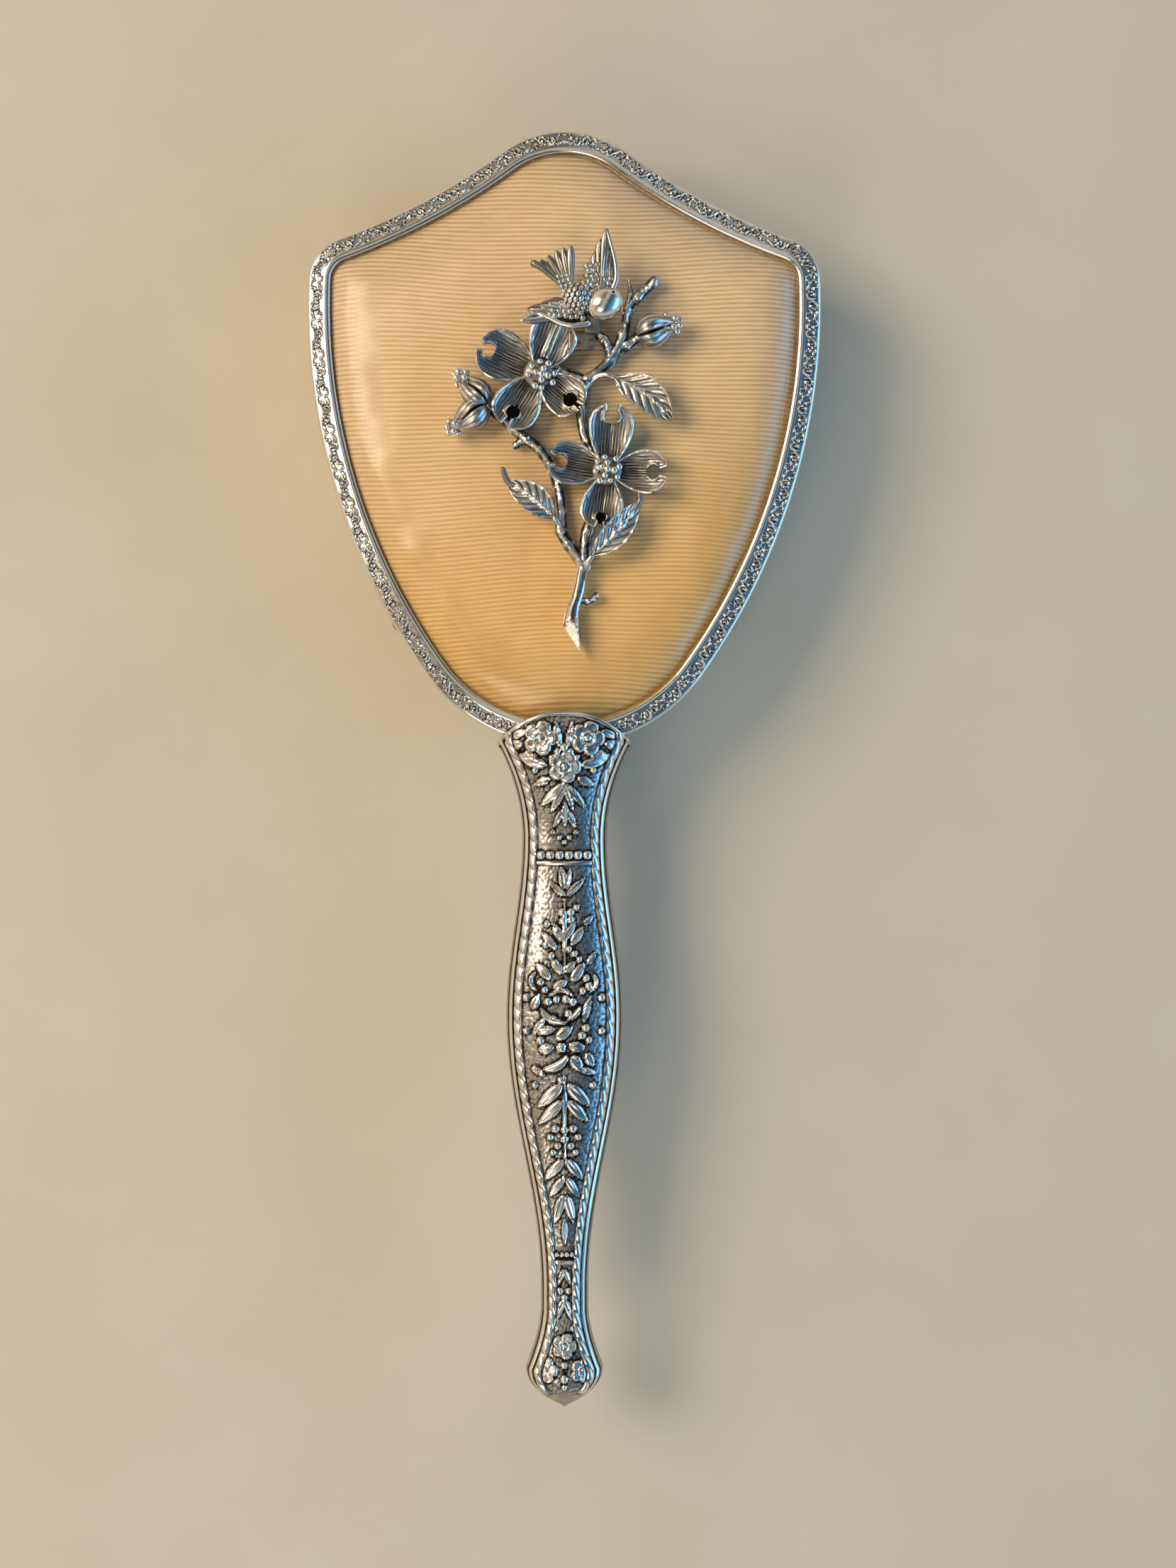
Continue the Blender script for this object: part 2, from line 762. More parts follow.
@dataclass(frozen=True)
class Pillow:
    """Domed form shared by the window and the cloth under it."""

    inset: float = 4.5
    centre_y: float = 67.0
    rise: float = 4.2
    steep: Spot = (0.72, 18.0)
    gentle: Spot = (0.28, 4.0)

    def reach(self, angles: Array, inset: float) -> Array:
        """Distance from the dome's centre to the inset outline.

        Args:
            angles: Directions from the centre.
            inset: How far inwards the outline moves.

        Returns:
            One distance a direction.
        """
        rim = SHIELD.inset(inset, 1.0, 4000) - (0.0, self.centre_y)
        at = np.arctan2(rim[:, 1], rim[:, 0])
        order = np.argsort(at)
        return np.interp(angles, at[order], np.hypot(*rim.T)[order], period=TAU)

    def share(self, scale: Array) -> Array:
        """Share of the rise on an outline scaled about the centre: steep at the rim, then gentle."""
        return 1 - sum(weight * np.clip(scale, 0, 1) ** power for weight, power in (self.steep, self.gentle))

    def height(self, x: Array, y: Array) -> Array:
        """Height of the window's outer surface over places x and y."""
        reach = self.reach(np.arctan2(y - self.centre_y, x), self.inset)
        return WINDOW_FLANGE_Z + self.rise * self.share(np.hypot(x, y - self.centre_y) / reach)


PILLOW = Pillow()


def soften(values: Array, times: int) -> Array:
    """Spreads a grid's values over their neighbours, to tell hollows from crests.

    Args:
        values: Rows by columns.
        times: How often.

    Returns:
        The spread values.
    """
    for _ in range(times):
        padded = np.pad(values, 1, mode="edge")
        near = padded[:-2, 1:-1] + padded[2:, 1:-1] + padded[1:-1, :-2] + padded[1:-1, 2:]
        values = values / 2 + near / 8
    return values


def dome_of(distance: Array, radius: Any) -> Array:
    """Round bump: 1 at its middle, 0 from its radius outwards."""
    return np.sqrt(np.clip(1 - (distance / radius) ** 2, 0, None))


# The next four give the height, up to 1, of one raised form over places x and y


def bead_relief(x: Array, y: Array, spot: Sequence[float]) -> Array:
    """Raised bead, from its centre and radius."""
    cx, cy, radius = spot
    return dome_of(np.hypot(x - cx, y - cy), radius)


def leaf_relief(x: Array, y: Array, spot: Sequence[float]) -> Array:
    """Raised pointed leaf with a sunk midrib.

    Args:
        x, y: Places.
        spot: Its foot, tip and width.

    Returns:
        Its height over each place.
    """
    x0, y0, x1, y1, width = spot
    length, (ux, uy, _), _ = heading((x0, y0), (x1, y1))
    along = ((x - x0) * ux + (y - y0) * uy) / length
    across = (y - y0) * ux - (x - x0) * uy
    half = width / 2 * np.sin(np.pi * np.clip(along, 0, 1) ** 0.8) ** 0.75 + 1e-6
    inside = (along > 0) & (along < 1)
    return np.where(inside, dome_of(across, half) * (1 - 0.4 * ridge(across, 0.16 * width)), 0.0)


def arc_relief(x: Array, y: Array, spot: Sequence[float]) -> Array:
    """Raised ridge along an arc, tapering to its ends.

    Args:
        x, y: Places.
        spot: The arc's centre, radius and two angles in degrees, and the ridge's width.

    Returns:
        Its height over each place.
    """
    cx, cy, radius, first, last, width = spot
    middle = math.radians((first + last) / 2)
    swing = (np.arctan2(y - cy, x - cx) - middle + np.pi) % TAU - np.pi
    share = np.clip(np.abs(swing) / math.radians((last - first) / 2), 0, 1)
    half = width / 2 * np.sqrt(1 - share**2) + 1e-6
    return dome_of(np.hypot(x - cx, y - cy) - radius, half)


def rose_relief(x: Array, y: Array, spot: Sequence[float]) -> Array:
    """Raised open rose: rounded petals about a sunk ring with a button in its middle.

    Args:
        x, y: Places.
        spot: Its centre, radius and number of petals.

    Returns:
        Its height over each place.
    """
    cx, cy, radius, petals = spot
    dx, dy = x - cx, y - cy
    reach = np.hypot(dx, dy) / radius
    wave = np.abs(np.cos(petals * np.arctan2(dy, dx) / 2)) ** 0.6
    edge = 0.72 + 0.28 * wave
    bowl = np.clip((edge - reach) / 0.18, 0, 1) ** 0.6 * (0.3 + 0.7 * np.clip(reach / edge, 0, 1) ** 1.4)
    crease = 1 - 0.5 * np.clip(1 - wave * 2.2, 0, 1) * (reach > 0.35)
    return np.maximum.reduce([bowl * crease, 0.85 * ridge(reach - 0.36, 0.09), 0.8 * dome_of(reach, 0.22)])


# Leaves that curl out from a volute of the border towards the next motif, each with its height
SCROLL_FORMS = (
    (arc_relief, 1.0, (2.5, 0.2, 0.6, 20, 200, 0.3)),
    (arc_relief, 1.0, (3.1, -0.45, 0.5, 150, 330, 0.28)),
    (arc_relief, 1.0, (2.3, -0.85, 0.55, 10, 150, 0.26)),
    (leaf_relief, 1.0, (2.2, 0.75, 3.5, 0.4, 0.5)),
    (leaf_relief, 0.9, (2.0, -0.2, 2.9, -0.1, 0.36)),
    (bead_relief, 1.0, (3.75, 0.35, 0.26)),
    (bead_relief, 0.8, (3.8, -0.7, 0.2)),
)


@dataclass
class HeadFrame:
    """Stamped frame round the head, with a scroll border between plain polished bands."""

    wall: float = 0.8
    rim_width: float = 4.2
    rim_crest: float = 0.25
    rim_slope: float = 12.0
    edge_radius: float = 0.7
    border_from_edge: float = 0.5
    border_width: float = 2.4
    border_height: float = 0.28
    sunk: float = 0.08
    lip: float = 0.8
    lip_radius: float = 0.35
    side_z: float = 21.0
    motif_length: float = 7.4
    motif_span: float = 7.9
    motif_spread: float = 1.25
    columns: int = 2000
    border_rows: int = 21

    def scrolls(self, along: Array, across: Array) -> Array:
        """Height of the scroll border.

        Args:
            along: Distance from the crown along one side of the head.
            across: Distance outwards from the border's middle line.

        Returns:
            From 0 in the ground to 1 on the crests.
        """
        half = SHIELD.lengths().sum()
        period = half / round(half / self.motif_length)
        a = (along / period % 1.0 - 0.5) * self.motif_span
        fade = np.clip((1 - np.abs(across / (self.border_width / 2))) / 0.12, 0, 1)
        across = across / self.motif_spread
        # A stem winds between two volutes, each a spiral round a bead
        forms = [0.9 * ridge(across - 0.9 * np.sin(np.pi * a / 2.6), 0.13) * (np.abs(a) < 1.1)]
        for side in (-1, 1):
            dx, dy = side * a - 1.15, side * across - 0.1
            reach = np.hypot(dx, dy)
            coil = 0.3 + 0.56 * ((np.arctan2(dy, dx) + 2.4) % TAU) / TAU
            forms += [ridge(reach - coil, 0.12), 0.9 * dome_of(reach, 0.22)]
            forms += [share * shape(side * a, side * across, spot) for shape, share, spot in SCROLL_FORMS]
        return np.maximum.reduce(forms) * fade

    def build(self) -> Piece:
        """Builds the frame as one closed ring.

        Returns:
            The frame.
        """
        low, lip_z, crest_z = FRAME_BACK_Z, FRAME_BACK_Z + self.lip, RIM_TOP_Z + self.rim_crest
        lip_in = self.wall + self.lip
        inner = self.border_from_edge + self.border_width
        bends = np.radians(np.linspace(0, 90 - self.rim_slope, 6)[1:])
        fall = math.tan(math.radians(self.rim_slope))
        edge_z = crest_z - fall * self.border_width - self.edge_radius * math.sin(bends[-1])
        # Rows as inset and height: the rolled lip, the side, the rounded edge and the sloping border
        rows = [(lip_in, low), (self.lip_radius, low), (0.1, low + 0.1), (0.0, low + self.lip_radius)]
        rows += [(0.0, self.side_z), (0.0, edge_z)]
        bend = self.edge_radius
        rows += [(bend * (1 - math.cos(t)), edge_z + bend * math.sin(t)) for t in bends]
        border = slice(len(rows), len(rows) + self.border_rows)
        steps = np.linspace(self.border_from_edge, inner, self.border_rows)
        rows += [(step, crest_z - fall * (inner - step)) for step in steps]
        # Then the polished inner band, and back along the inside
        rows += [(inner + 0.12, crest_z), (3.5, crest_z + 0.02)]
        rows += [(3.95, crest_z - 0.08), (4.14, crest_z - 0.25)]
        hidden = slice(len(rows), len(rows) + 4)
        rows += [(self.rim_width, RIM_TOP_Z - 0.3), (self.rim_width, WINDOW_FLANGE_Z)]
        rows += [(self.wall, WINDOW_FLANGE_Z), (self.wall, lip_z), (lip_in, lip_z), (lip_in, low)]
        inset, level = np.array(rows).T
        points, normals, along = SHIELD.walk(np.linspace(0, 1, self.columns + 1))
        flat = points[None] - inset[:, None, None] * normals[None]
        z = np.repeat(level[:, None], self.columns + 1, axis=1)
        relief = np.ones_like(z)
        across = self.border_from_edge + self.border_width / 2 - inset[border, None]
        crest = self.scrolls(*np.broadcast_arrays(along[None], across))
        z[border] += crest * (self.border_height + self.sunk) - self.sunk
        relief[border] = np.clip(0.48 + 0.42 * crest + 1.5 * (crest - soften(crest, 6)), 0, 1)
        relief[hidden] = 0.3
        return lay_grid("head_frame_silver", np.dstack([flat, z]), relief)

    def dress(self, piece: Piece, silver: Material) -> None:
        """Gives the frame its finish and its place."""
        place(piece, silver, "silver_plate", "head_frame")


@dataclass
class Window:
    """Clear domed window with the flange that the rim clamps."""

    thickness: float = 0.8
    flange_inset: float = 0.95
    columns: int = 420

    def build(self) -> Piece:
        """Builds the window as one closed skin, over the crest and back under it.

        Returns:
            The window.
        """
        turn = np.linspace(-math.pi, math.pi, self.columns + 1)
        rim, edge = PILLOW.reach(turn, PILLOW.inset), PILLOW.reach(turn, self.flange_inset)
        scales = np.concatenate([np.linspace(0, 0.8, 12), 1 - np.linspace(0.17, 0, 18) ** 1.15])
        narrowing = 1 - self.thickness / SHIELD.half_width
        lower = WINDOW_FLANGE_Z - self.thickness
        rise = PILLOW.rise * PILLOW.share(scales)
        skins = [(scale * rim, WINDOW_FLANGE_Z + up) for scale, up in zip(scales, rise)]
        skins += [(edge, WINDOW_FLANGE_Z), (edge, lower)]
        skins += [(scale * narrowing * rim, lower + up) for scale, up in zip(scales[::-1], rise[::-1])]
        cos, sin = np.cos(turn), np.sin(turn)
        grid = [np.column_stack([r * cos, PILLOW.centre_y + r * sin, z + 0 * turn]) for r, z in skins]
        return lay_grid("window_clear", np.array(grid))

    def dress(self, piece: Piece) -> None:
        """Gives the window its finish and its place."""
        place(piece, ClearAcetate().material(), "clear_acetate", "window_dome")


@dataclass
class FabricPanel:
    """Ribbed cloth stretched over the former card under the window."""

    edge_inset: float = 1.1
    below_window: float = 0.84
    thickness: float = 0.15
    rib_pitch: float = 0.845
    rib_height: float = 0.12
    stretch: float = 1.03
    rows_per_rib: int = 5
    columns: int = 60

    def waver(self, x: Array, y: Array) -> Array:
        """How far the cords wander along the panel, over places x and y."""
        slow = 0.9 * np.sin(x / 24 + 0.8) * np.cos(y / 41) + 0.6 * np.sin(x / 15 - y / 33 + 2.0)
        return slow + 0.22 * np.sin(x / 5.5 + y / 12)

    def build(self) -> Piece:
        """Builds the panel with its cords as real ribs.

        Returns:
            The cloth.
        """
        side = SHIELD.inset(self.edge_inset, 0.5, 3000)
        low, high = side[-1, 1], side[0, 1]
        count = round((high - low) / self.rib_pitch) * self.rows_per_rib
        level = np.linspace(low, high, count + 1)[:, None]
        half = np.interp(level, side[::-1, 1], side[::-1, 0])
        q = np.linspace(-1, 1, self.columns + 1)[None]
        x = q * half
        # The cords run straight where the cloth is held at its edge
        free = np.clip(np.minimum(level - low, high - level) / 8, 0, 1) * (1 - q**8)
        y = level + self.waver(x, level) * free
        rib = np.sin(np.pi * (np.arange(count + 1) / self.rows_per_rib))[:, None] ** 2
        z = PILLOW.height(x, y) - self.below_window + (rib - 1) * self.rib_height
        piece = lay_grid("fabric_faille", np.dstack([x, y, z]), rib, closed=False)
        modify(piece, "SOLIDIFY", thickness=self.thickness * MM, offset=-1.0)
        edit(piece, weld)
        return piece

    def dress(self, piece: Piece) -> None:
        """Gives the cloth its finish, its place and its cut size.

        Args:
            piece: The cloth piece.
        """
        place(piece, RibbedFaille().material(), "ribbed_faille", "fabric_panel")
        x, y = SHIELD.inset(self.edge_inset, 1.0, 4000).T


@dataclass
class Tufts:
    """Rows of nylon bristle, each tuft a bundle of separate filaments."""

    pitch_x: float = 6.9
    pitch_y: float = 6.6
    margin: float = 6.5
    length: float = 15.0
    root_depth: float = 3.0
    root_radius: float = 1.3
    tip_radius: float = 1.75
    filament_radius: float = 0.16
    filaments: int = 37
    swing: float = 0.4
    stray: float = 0.09
    trim: float = 0.35
    seed: int = 7

    def rows(self) -> list[list[Spot]]:
        """Places the tufts in staggered rows, where the margin allows.

        Returns:
            Tuft centres row by row from the crown down.
        """
        rim = SHIELD.inset(0.0, 1.0, 4000)
        side = rim[2000:0:-1]
        first = SHIELD.top_y - self.margin - self.pitch_y / 2
        across = int(SHIELD.half_width / self.pitch_x) + 1
        rows = []
        for number in range(int((SHIELD.top_y - rim[:, 1].min()) / self.pitch_y)):
            y = first - number * self.pitch_y
            half = np.interp(y, side[:, 1], side[:, 0])
            shift = self.pitch_x / 2 if number % 2 else 0.0
            places = [self.pitch_x * i + shift for i in range(-across, across + 1)]
            inside = [(x, y) for x in places if abs(x) < half]
            rows.append([spot for spot in inside if np.hypot(*(rim - spot).T).min() >= self.margin])
        return [row for row in rows if len(row) > 1]

    def filament(self) -> Piece:
        """Models one filament: a thin five-sided rod, drawn out of a disc and rounded at its tip.

        Returns:
            The filament, with its root at the origin.
        """
        piece = add("circle", "filament", vertices=5, radius=self.filament_radius * MM, fill_type="NGON")
        reach = (self.length + self.root_depth) * MM

        def draw(share: float) -> None:
            """Draws the end face on by a share of the length."""
            bpy.ops.mesh.extrude_region_move(TRANSFORM_OT_translate={"value": (0, 0, -share * reach)})

        edit(
            piece,
            lambda: draw(0.6),
            lambda: draw(0.385),
            lambda: draw(0.015),
            lambda: bpy.ops.transform.resize(value=(0.45, 0.45, 1.0)),
            lambda: bpy.ops.mesh.select_all(action="SELECT"),
            face_out,
        )
        return piece

    def build(self) -> list[Piece]:
        """Builds every row as one piece.

        Returns:
            One piece for each row, from the crown down.
        """
        rng = np.random.default_rng(self.seed)
        model = self.filament()
        base = corners(model) / MM
        reach = self.length + self.root_depth
        depth = -base[:, 2] / reach
        spread = self.root_radius + (self.tip_radius - self.root_radius) * depth**1.5
        made = []
        for number, row in enumerate(self.rows(), start=1):
            group = []
            for spot, index in ((spot, index) for spot in row for index in range(self.filaments)):
                turn = index * GOLDEN_ANGLE + rng.uniform(0, self.swing)
                lean = rng.normal(0, self.stray, 2)
                off = (spread - self.filament_radius) * math.sqrt((index + 0.5) / self.filaments)
                x = base[:, 0] + (spot[0] + off * math.cos(turn) + lean[0] * depth**2)
                y = base[:, 1] + (spot[1] + off * math.sin(turn) + lean[1] * depth**2)
                z = BLOCK_FACE_Z + self.root_depth + base[:, 2] * (1 - rng.uniform(0, self.trim) / reach)
                copy = duplicate(model)
                copy.data.vertices.foreach_set("co", (np.column_stack([x, y, z]) * MM).ravel())
                group.append(copy)
            made.append(join(group, f"bristles_row_{number:02d}"))
        bpy.data.objects.remove(model)
        return made

    def dress(self, pieces: list[Piece]) -> None:
        """Gives every row its finish and its place.

        Args:
            pieces: The rows, from the crown down.
        """
        nylon = NYLON_BRISTLE.material()
        for number, piece in enumerate(pieces, start=1):
            smooth(piece, BRISTLE_CREASE)
            place(piece, nylon, "nylon_bristle", f"tuft_row_{number:02d}")


# Handle

# Relief of the handle's panel, seen from the front in millimetres: roses as x, y, radius, petals
ROSES = (
    (-4.4, 6.2, 3.3, 5), (4.4, 6.2, 3.3, 5), (0.1, 0.9, 3.2, 5), (0.0, -107.6, 2.4, 5),
    (-3.5, -112.0, 2.4, 5), (3.5, -112.0, 2.4, 5),
)
# Curved ridges as centre x, centre y, radius, first and last angle in degrees, width
ARCS = (
    (-0.8, -42.9, 3.6, 195, 285, 1.3), (-0.4, -42.9, 3.4, 285, 350, 1.1),
    (-0.5, -43.4, 2.7, 35, 150, 0.9), (-0.4, -45.2, 1.5, 170, 330, 0.8),
    (-3.3, -51.0, 4.3, 262, 338, 1.7), (4.4, -52.2, 3.4, 200, 262, 1.2),
    (-4.2, -39.0, 1.9, 120, 250, 0.9), (4.0, -39.2, 1.9, -70, 60, 0.9),
)
# Leaves as foot x, foot y, tip x, tip y, width
LEAVES = (
    (0.2, -2.2, -4.5, -6.5, 1.9), (0.1, -2.8, -2.5, -7.6, 1.6), (0.3, -2.4, 4.0, -6.7, 1.5),
    (0.2, -2.6, 1.8, -7.4, 1.3), (0.2, -5.8, 0.2, -10.4, 1.4), (0.0, -7.0, -2.0, -10.4, 1.3),
    (0.4, -7.0, 2.2, -10.4, 1.3), (0.1, -22.0, -0.6, -17.7, 1.7), (0.3, -22.0, 1.1, -18.2, 1.5),
    (0.2, -23.2, -2.6, -20.8, 1.3), (0.4, -23.2, 3.8, -19.9, 1.4), (0.1, -23.4, 0.1, -38.4, 0.8),
    (0.1, -31.2, 2.1, -28.0, 1.5), (1.3, -32.2, 3.6, -28.9, 1.8), (3.7, -28.4, 5.4, -26.9, 1.1),
    (-0.1, -31.6, -2.2, -28.2, 1.6), (-1.5, -33.0, -4.2, -29.8, 1.5), (0.1, -37.4, 2.2, -35.2, 1.5),
    (1.5, -39.0, 3.7, -35.6, 2.1), (-0.2, -37.6, -2.4, -35.0, 1.6), (-2.6, -38.6, -5.2, -35.6, 1.8),
    (4.4, -35.8, 5.9, -33.6, 1.2), (-1.9, -40.3, 0.6, -38.9, 1.7), (-5.9, -44.2, -4.6, -41.4, 1.7),
    (3.6, -46.4, 4.9, -41.8, 1.5), (-5.6, -48.8, -3.6, -45.8, 1.5), (-5.2, -48.3, -1.6, -47.8, 1.9),
    (-1.4, -49.7, 1.5, -47.3, 2.1), (-4.6, -51.8, -1.9, -51.2, 2.1), (0.9, -51.0, 3.9, -51.4, 2.0),
    (1.2, -53.0, 3.4, -54.8, 1.9), (4.2, -52.4, 5.4, -55.0, 1.7), (2.6, -55.2, 6.0, -56.2, 1.3),
    (-6.0, -55.0, -3.6, -56.6, 1.3), (-0.4, -58.2, -5.0, -62.6, 2.3), (-0.2, -61.2, -4.8, -65.8, 2.1),
    (0.6, -58.2, 4.9, -62.3, 2.3), (0.5, -61.2, 4.4, -65.2, 2.1), (0.1, -56.0, 0.2, -75.0, 0.8),
    (-0.1, -72.4, -3.7, -76.4, 1.9), (0.4, -72.4, 3.5, -76.2, 1.9), (0.0, -75.8, -2.8, -79.6, 1.6),
    (0.3, -75.8, 2.8, -79.6, 1.6), (-0.2, -79.2, -1.8, -84.6, 1.9), (0.4, -79.2, 1.8, -84.6, 1.9),
    (0.1, -83.6, 0.1, -88.8, 1.3), (0.0, -93.2, -1.2, -96.2, 1.1), (0.0, -93.2, 1.2, -96.2, 1.1),
    (0.0, -98.8, -1.9, -103.4, 1.4), (0.0, -98.8, 1.9, -103.4, 1.4),
)
# Berries as x, y, radius
BERRIES = (
    (0.0, 4.4, 0.75), (0.0, -13.2, 0.5), (-0.4, -26.2, 0.75), (1.2, -26.2, 0.75), (-0.2, -27.8, 0.75),
    (1.2, -27.6, 0.7), (2.3, -25.3, 0.6), (-3.2, -28.4, 0.6), (-1.3, -29.6, 0.55), (-2.4, -34.3, 0.65),
    (-1.6, -35.6, 0.6), (-3.4, -32.2, 0.65), (0.9, -33.0, 0.6), (1.9, -33.9, 0.65), (2.8, -34.9, 0.6),
    (-4.4, -39.2, 0.7), (-3.6, -40.6, 0.65), (4.1, -38.4, 0.65), (4.6, -39.9, 0.7), (3.4, -40.8, 0.65),
    (-3.0, -42.8, 0.75), (-1.4, -42.3, 0.7), (0.4, -42.3, 0.75), (1.6, -42.8, 0.75), (0.8, -44.9, 0.7),
    (-0.5, -51.3, 0.95), (-4.4, -50.0, 0.75), (3.3, -49.1, 0.75), (4.0, -47.7, 0.7), (4.6, -49.9, 0.65),
    (-0.6, -57.4, 0.65), (0.1, -66.8, 0.75), (0.1, -68.6, 0.75), (0.0, -98.6, 0.65),
    (0.0, -111.0, 0.65), (0.0, -113.6, 0.75), (0.0, -115.2, 0.55),
)
# Leaves and berries that stand on both sides alike
PAIRED_LEAVES = (
    (7.6, 5.2, 11.6, 4.7, 1.9), (7.0, 7.6, 10.2, 6.2, 1.6), (3.2, 1.2, 7.6, 1.9, 1.9),
    (5.0, 2.8, 9.2, 2.6, 1.8), (2.6, -1.2, 5.6, -2.6, 1.6), (0.8, 4.6, 1.6, 9.4, 1.4),
    (2.4, -105.4, 4.2, -106.6, 1.4),
)
PAIRED_BERRIES = (
    (1.2, 3.7, 0.6), (2.3, 2.6, 0.55), (6.8, 3.4, 0.6), (5.4, 0.2, 0.55), (0.9, -12.3, 0.5),
    (2.1, -11.4, 0.45), (7.0, -42.1, 0.7), (7.0, -48.3, 0.65), (5.4, -58.4, 0.6), (1.6, -66.6, 0.75),
    (2.6, -68.2, 0.65), (1.2, -69.8, 0.7), (2.1, -71.1, 0.6), (0.8, -97.4, 0.65), (1.7, -104.4, 0.6),
)
# What stands on the panel: its form, its height, its places, and whether it is on both sides
PANEL_FORMS = (
    (rose_relief, 1.0, ROSES, False),
    (arc_relief, 1.0, ARCS, False),
    (leaf_relief, 0.85, LEAVES, False),
    (leaf_relief, 0.85, PAIRED_LEAVES, True),
    (bead_relief, 0.9, BERRIES, False),
    (bead_relief, 0.9, PAIRED_BERRIES, True),
)


@dataclass
class Handle:
    """Two stamped half shells with floral relief between rope borders."""

    collar_y: float = 5.3
    collar_width: float = 12.7
    collar_depth: float = 8.6
    crown_rise: float = 6.0
    waist_y: float = -12.5
    waist: Spot = (8.0, 6.4)
    grip_y: float = -46.0
    grip: Spot = (11.0, 8.0)
    neck_y: float = -97.0
    neck: Spot = (4.5, 4.0)
    flare_y: float = -101.0
    foot_y: float = -112.2
    foot: Spot = (7.3, 5.6)
    tip_y: float = -120.0
    power: float = 2.3
    wall: float = 0.9
    bands: Spot = (-15.6, -90.6)
    band_height: float = 0.6
    band_half: float = 1.9
    bead_pitch: float = 1.75
    fillet_drop: float = 1.45
    border_inset: float = 2.35
    border_half: float = 0.72
    border_foot_y: float = -116.5
    panel_foot_y: float = -117.2
    plain_foot_y: float = -116.8
    rope_pitch: float = 2.6
    rope_height: float = 0.5
    rim_height: float = 0.4
    relief_height: float = 0.75
    reed_at: float = 0.42
    reed_height: float = 0.16
    stipple_pitch: float = 0.55
    stipple_height: float = 0.07
    columns: int = 132
    inner_columns: int = 10

    def size(self, y: Array) -> tuple[Array, Array]:
        """Measures the handle.

        Args:
            y: Places along it.

        Returns:
            Half width and half depth at each place.
        """
        flare = (y - self.waist_y) / (self.collar_y - self.waist_y)
        collar = (self.collar_width, self.collar_depth)
        collar_shares = (flare**2, ease(flare))
        grip_share = ease((y - self.grip_y) / (self.waist_y - self.grip_y))
        neck_share = ease((y - self.neck_y) / (self.grip_y - self.neck_y))
        foot_share = np.clip((self.flare_y - y) / (self.flare_y - self.foot_y), 0, 1) ** 1.65
        cap = np.maximum(1 - np.clip((self.foot_y - y) / (self.foot_y - self.tip_y), 0, 1) ** 2.2, 0.03)
        parts = [y >= self.waist_y, y >= self.grip_y, y >= self.neck_y]
        sizes = []
        for i in (0, 1):
            high = self.waist[i] + (collar[i] - self.waist[i]) * collar_shares[i]
            upper = self.grip[i] + (self.waist[i] - self.grip[i]) * grip_share
            middle = self.neck[i] + (self.grip[i] - self.neck[i]) * neck_share
            low = self.neck[i] + (self.foot[i] - self.neck[i]) * foot_share
            sizes.append(np.select(parts, [high, upper, middle], low) * cap)
        return sizes[0], sizes[1]

    def stipple(self, x: Array, y: Array) -> Array:
        """Fine punched ground: small domes on a jittered lattice.

        Args:
            x, y: Places across and along the handle.

        Returns:
            Height over each place, up to 1.
        """
        pitch = self.stipple_pitch
        column, row = np.floor(x / pitch), np.floor(y / pitch)
        best = np.full_like(x, 9.0)
        for gx, gy in ((column + i, row + j) for i in (-1, 0, 1) for j in (-1, 0, 1)):
            jx = np.sin(gx * 12.9898 + gy * 78.233) * 43758.5453 % 1.0
            jy = np.sin(gx * 39.3461 + gy * 11.135) * 24634.6345 % 1.0
            best = np.minimum(best, np.hypot(x - (gx + jx) * pitch, y - (gy + jy) * pitch))
        return dome_of(best, 0.55 * pitch)

    def bead_row(self, x: Array, y: Array, level: float, inside: Array) -> Array:
        """Row of beads across the handle, over a thin fillet.

        Args:
            x, y: Places across and along the handle.
            level: Where the row stands.
            inside: 1 between the borders and 0 on them.

        Returns:
            Height over each place.
        """
        reach = float(self.size(np.array(level))[0]) - self.border_inset - 0.5
        count = max(4, round(2 * reach / self.bead_pitch))
        pitch = 2 * reach / count
        shift = (x / pitch + 0.5 * (count % 2)) % 1.0 - 0.5
        beads = dome_of(np.hypot(shift * pitch, y - level), 0.47 * pitch) * inside
        fillet = ridge(y - level + self.fillet_drop, 0.3) * inside
        return np.maximum(beads * self.band_height, fillet * 0.3)

    def relief(self, x: Array, y: Array) -> tuple[Array, Array]:
        """Relief of the panel over points seen from the front.

        Args:
            x, y: Places across and along the handle.

        Returns:
            Height in millimetres, and how polished each point is.
        """
        width, _ = self.size(np.minimum(y, self.collar_y))
        from_border = np.abs(x) - (width - self.border_inset)
        within = np.clip(-(from_border + self.border_half) / 0.5, 0, 1)
        within = within * np.clip(y - self.panel_foot_y, 0, 1)
        motif = np.zeros_like(x)
        for shape, share, spots, paired in PANEL_FORMS:
            for spot in spots:
                motif = np.maximum(motif, share * shape(np.abs(x) if paired else x, y, spot))
        ground = self.stipple_height * self.stipple(x, y) * (motif < 0.05)
        height = (motif * self.relief_height + ground) * within
        # Rope of slanting wheat ears along both sides
        rope = dome_of(from_border, self.border_half)
        ears = np.abs(np.sin(np.pi * (y / self.rope_pitch + 0.45 * np.sign(x) * from_border))) ** 0.55
        on_border = (y > self.border_foot_y) & (y < self.collar_y + 2.0)
        height = np.maximum(height, self.rope_height * rope * (0.25 + 0.75 * ears) * on_border)
        inside = np.clip(-(from_border + 0.55) / 0.2, 0, 1)
        for level in self.bands:
            on_band = (np.abs(y - level) < self.band_half) & (inside > 0)
            height = np.where(on_band, self.bead_row(x, y, level, inside), height)
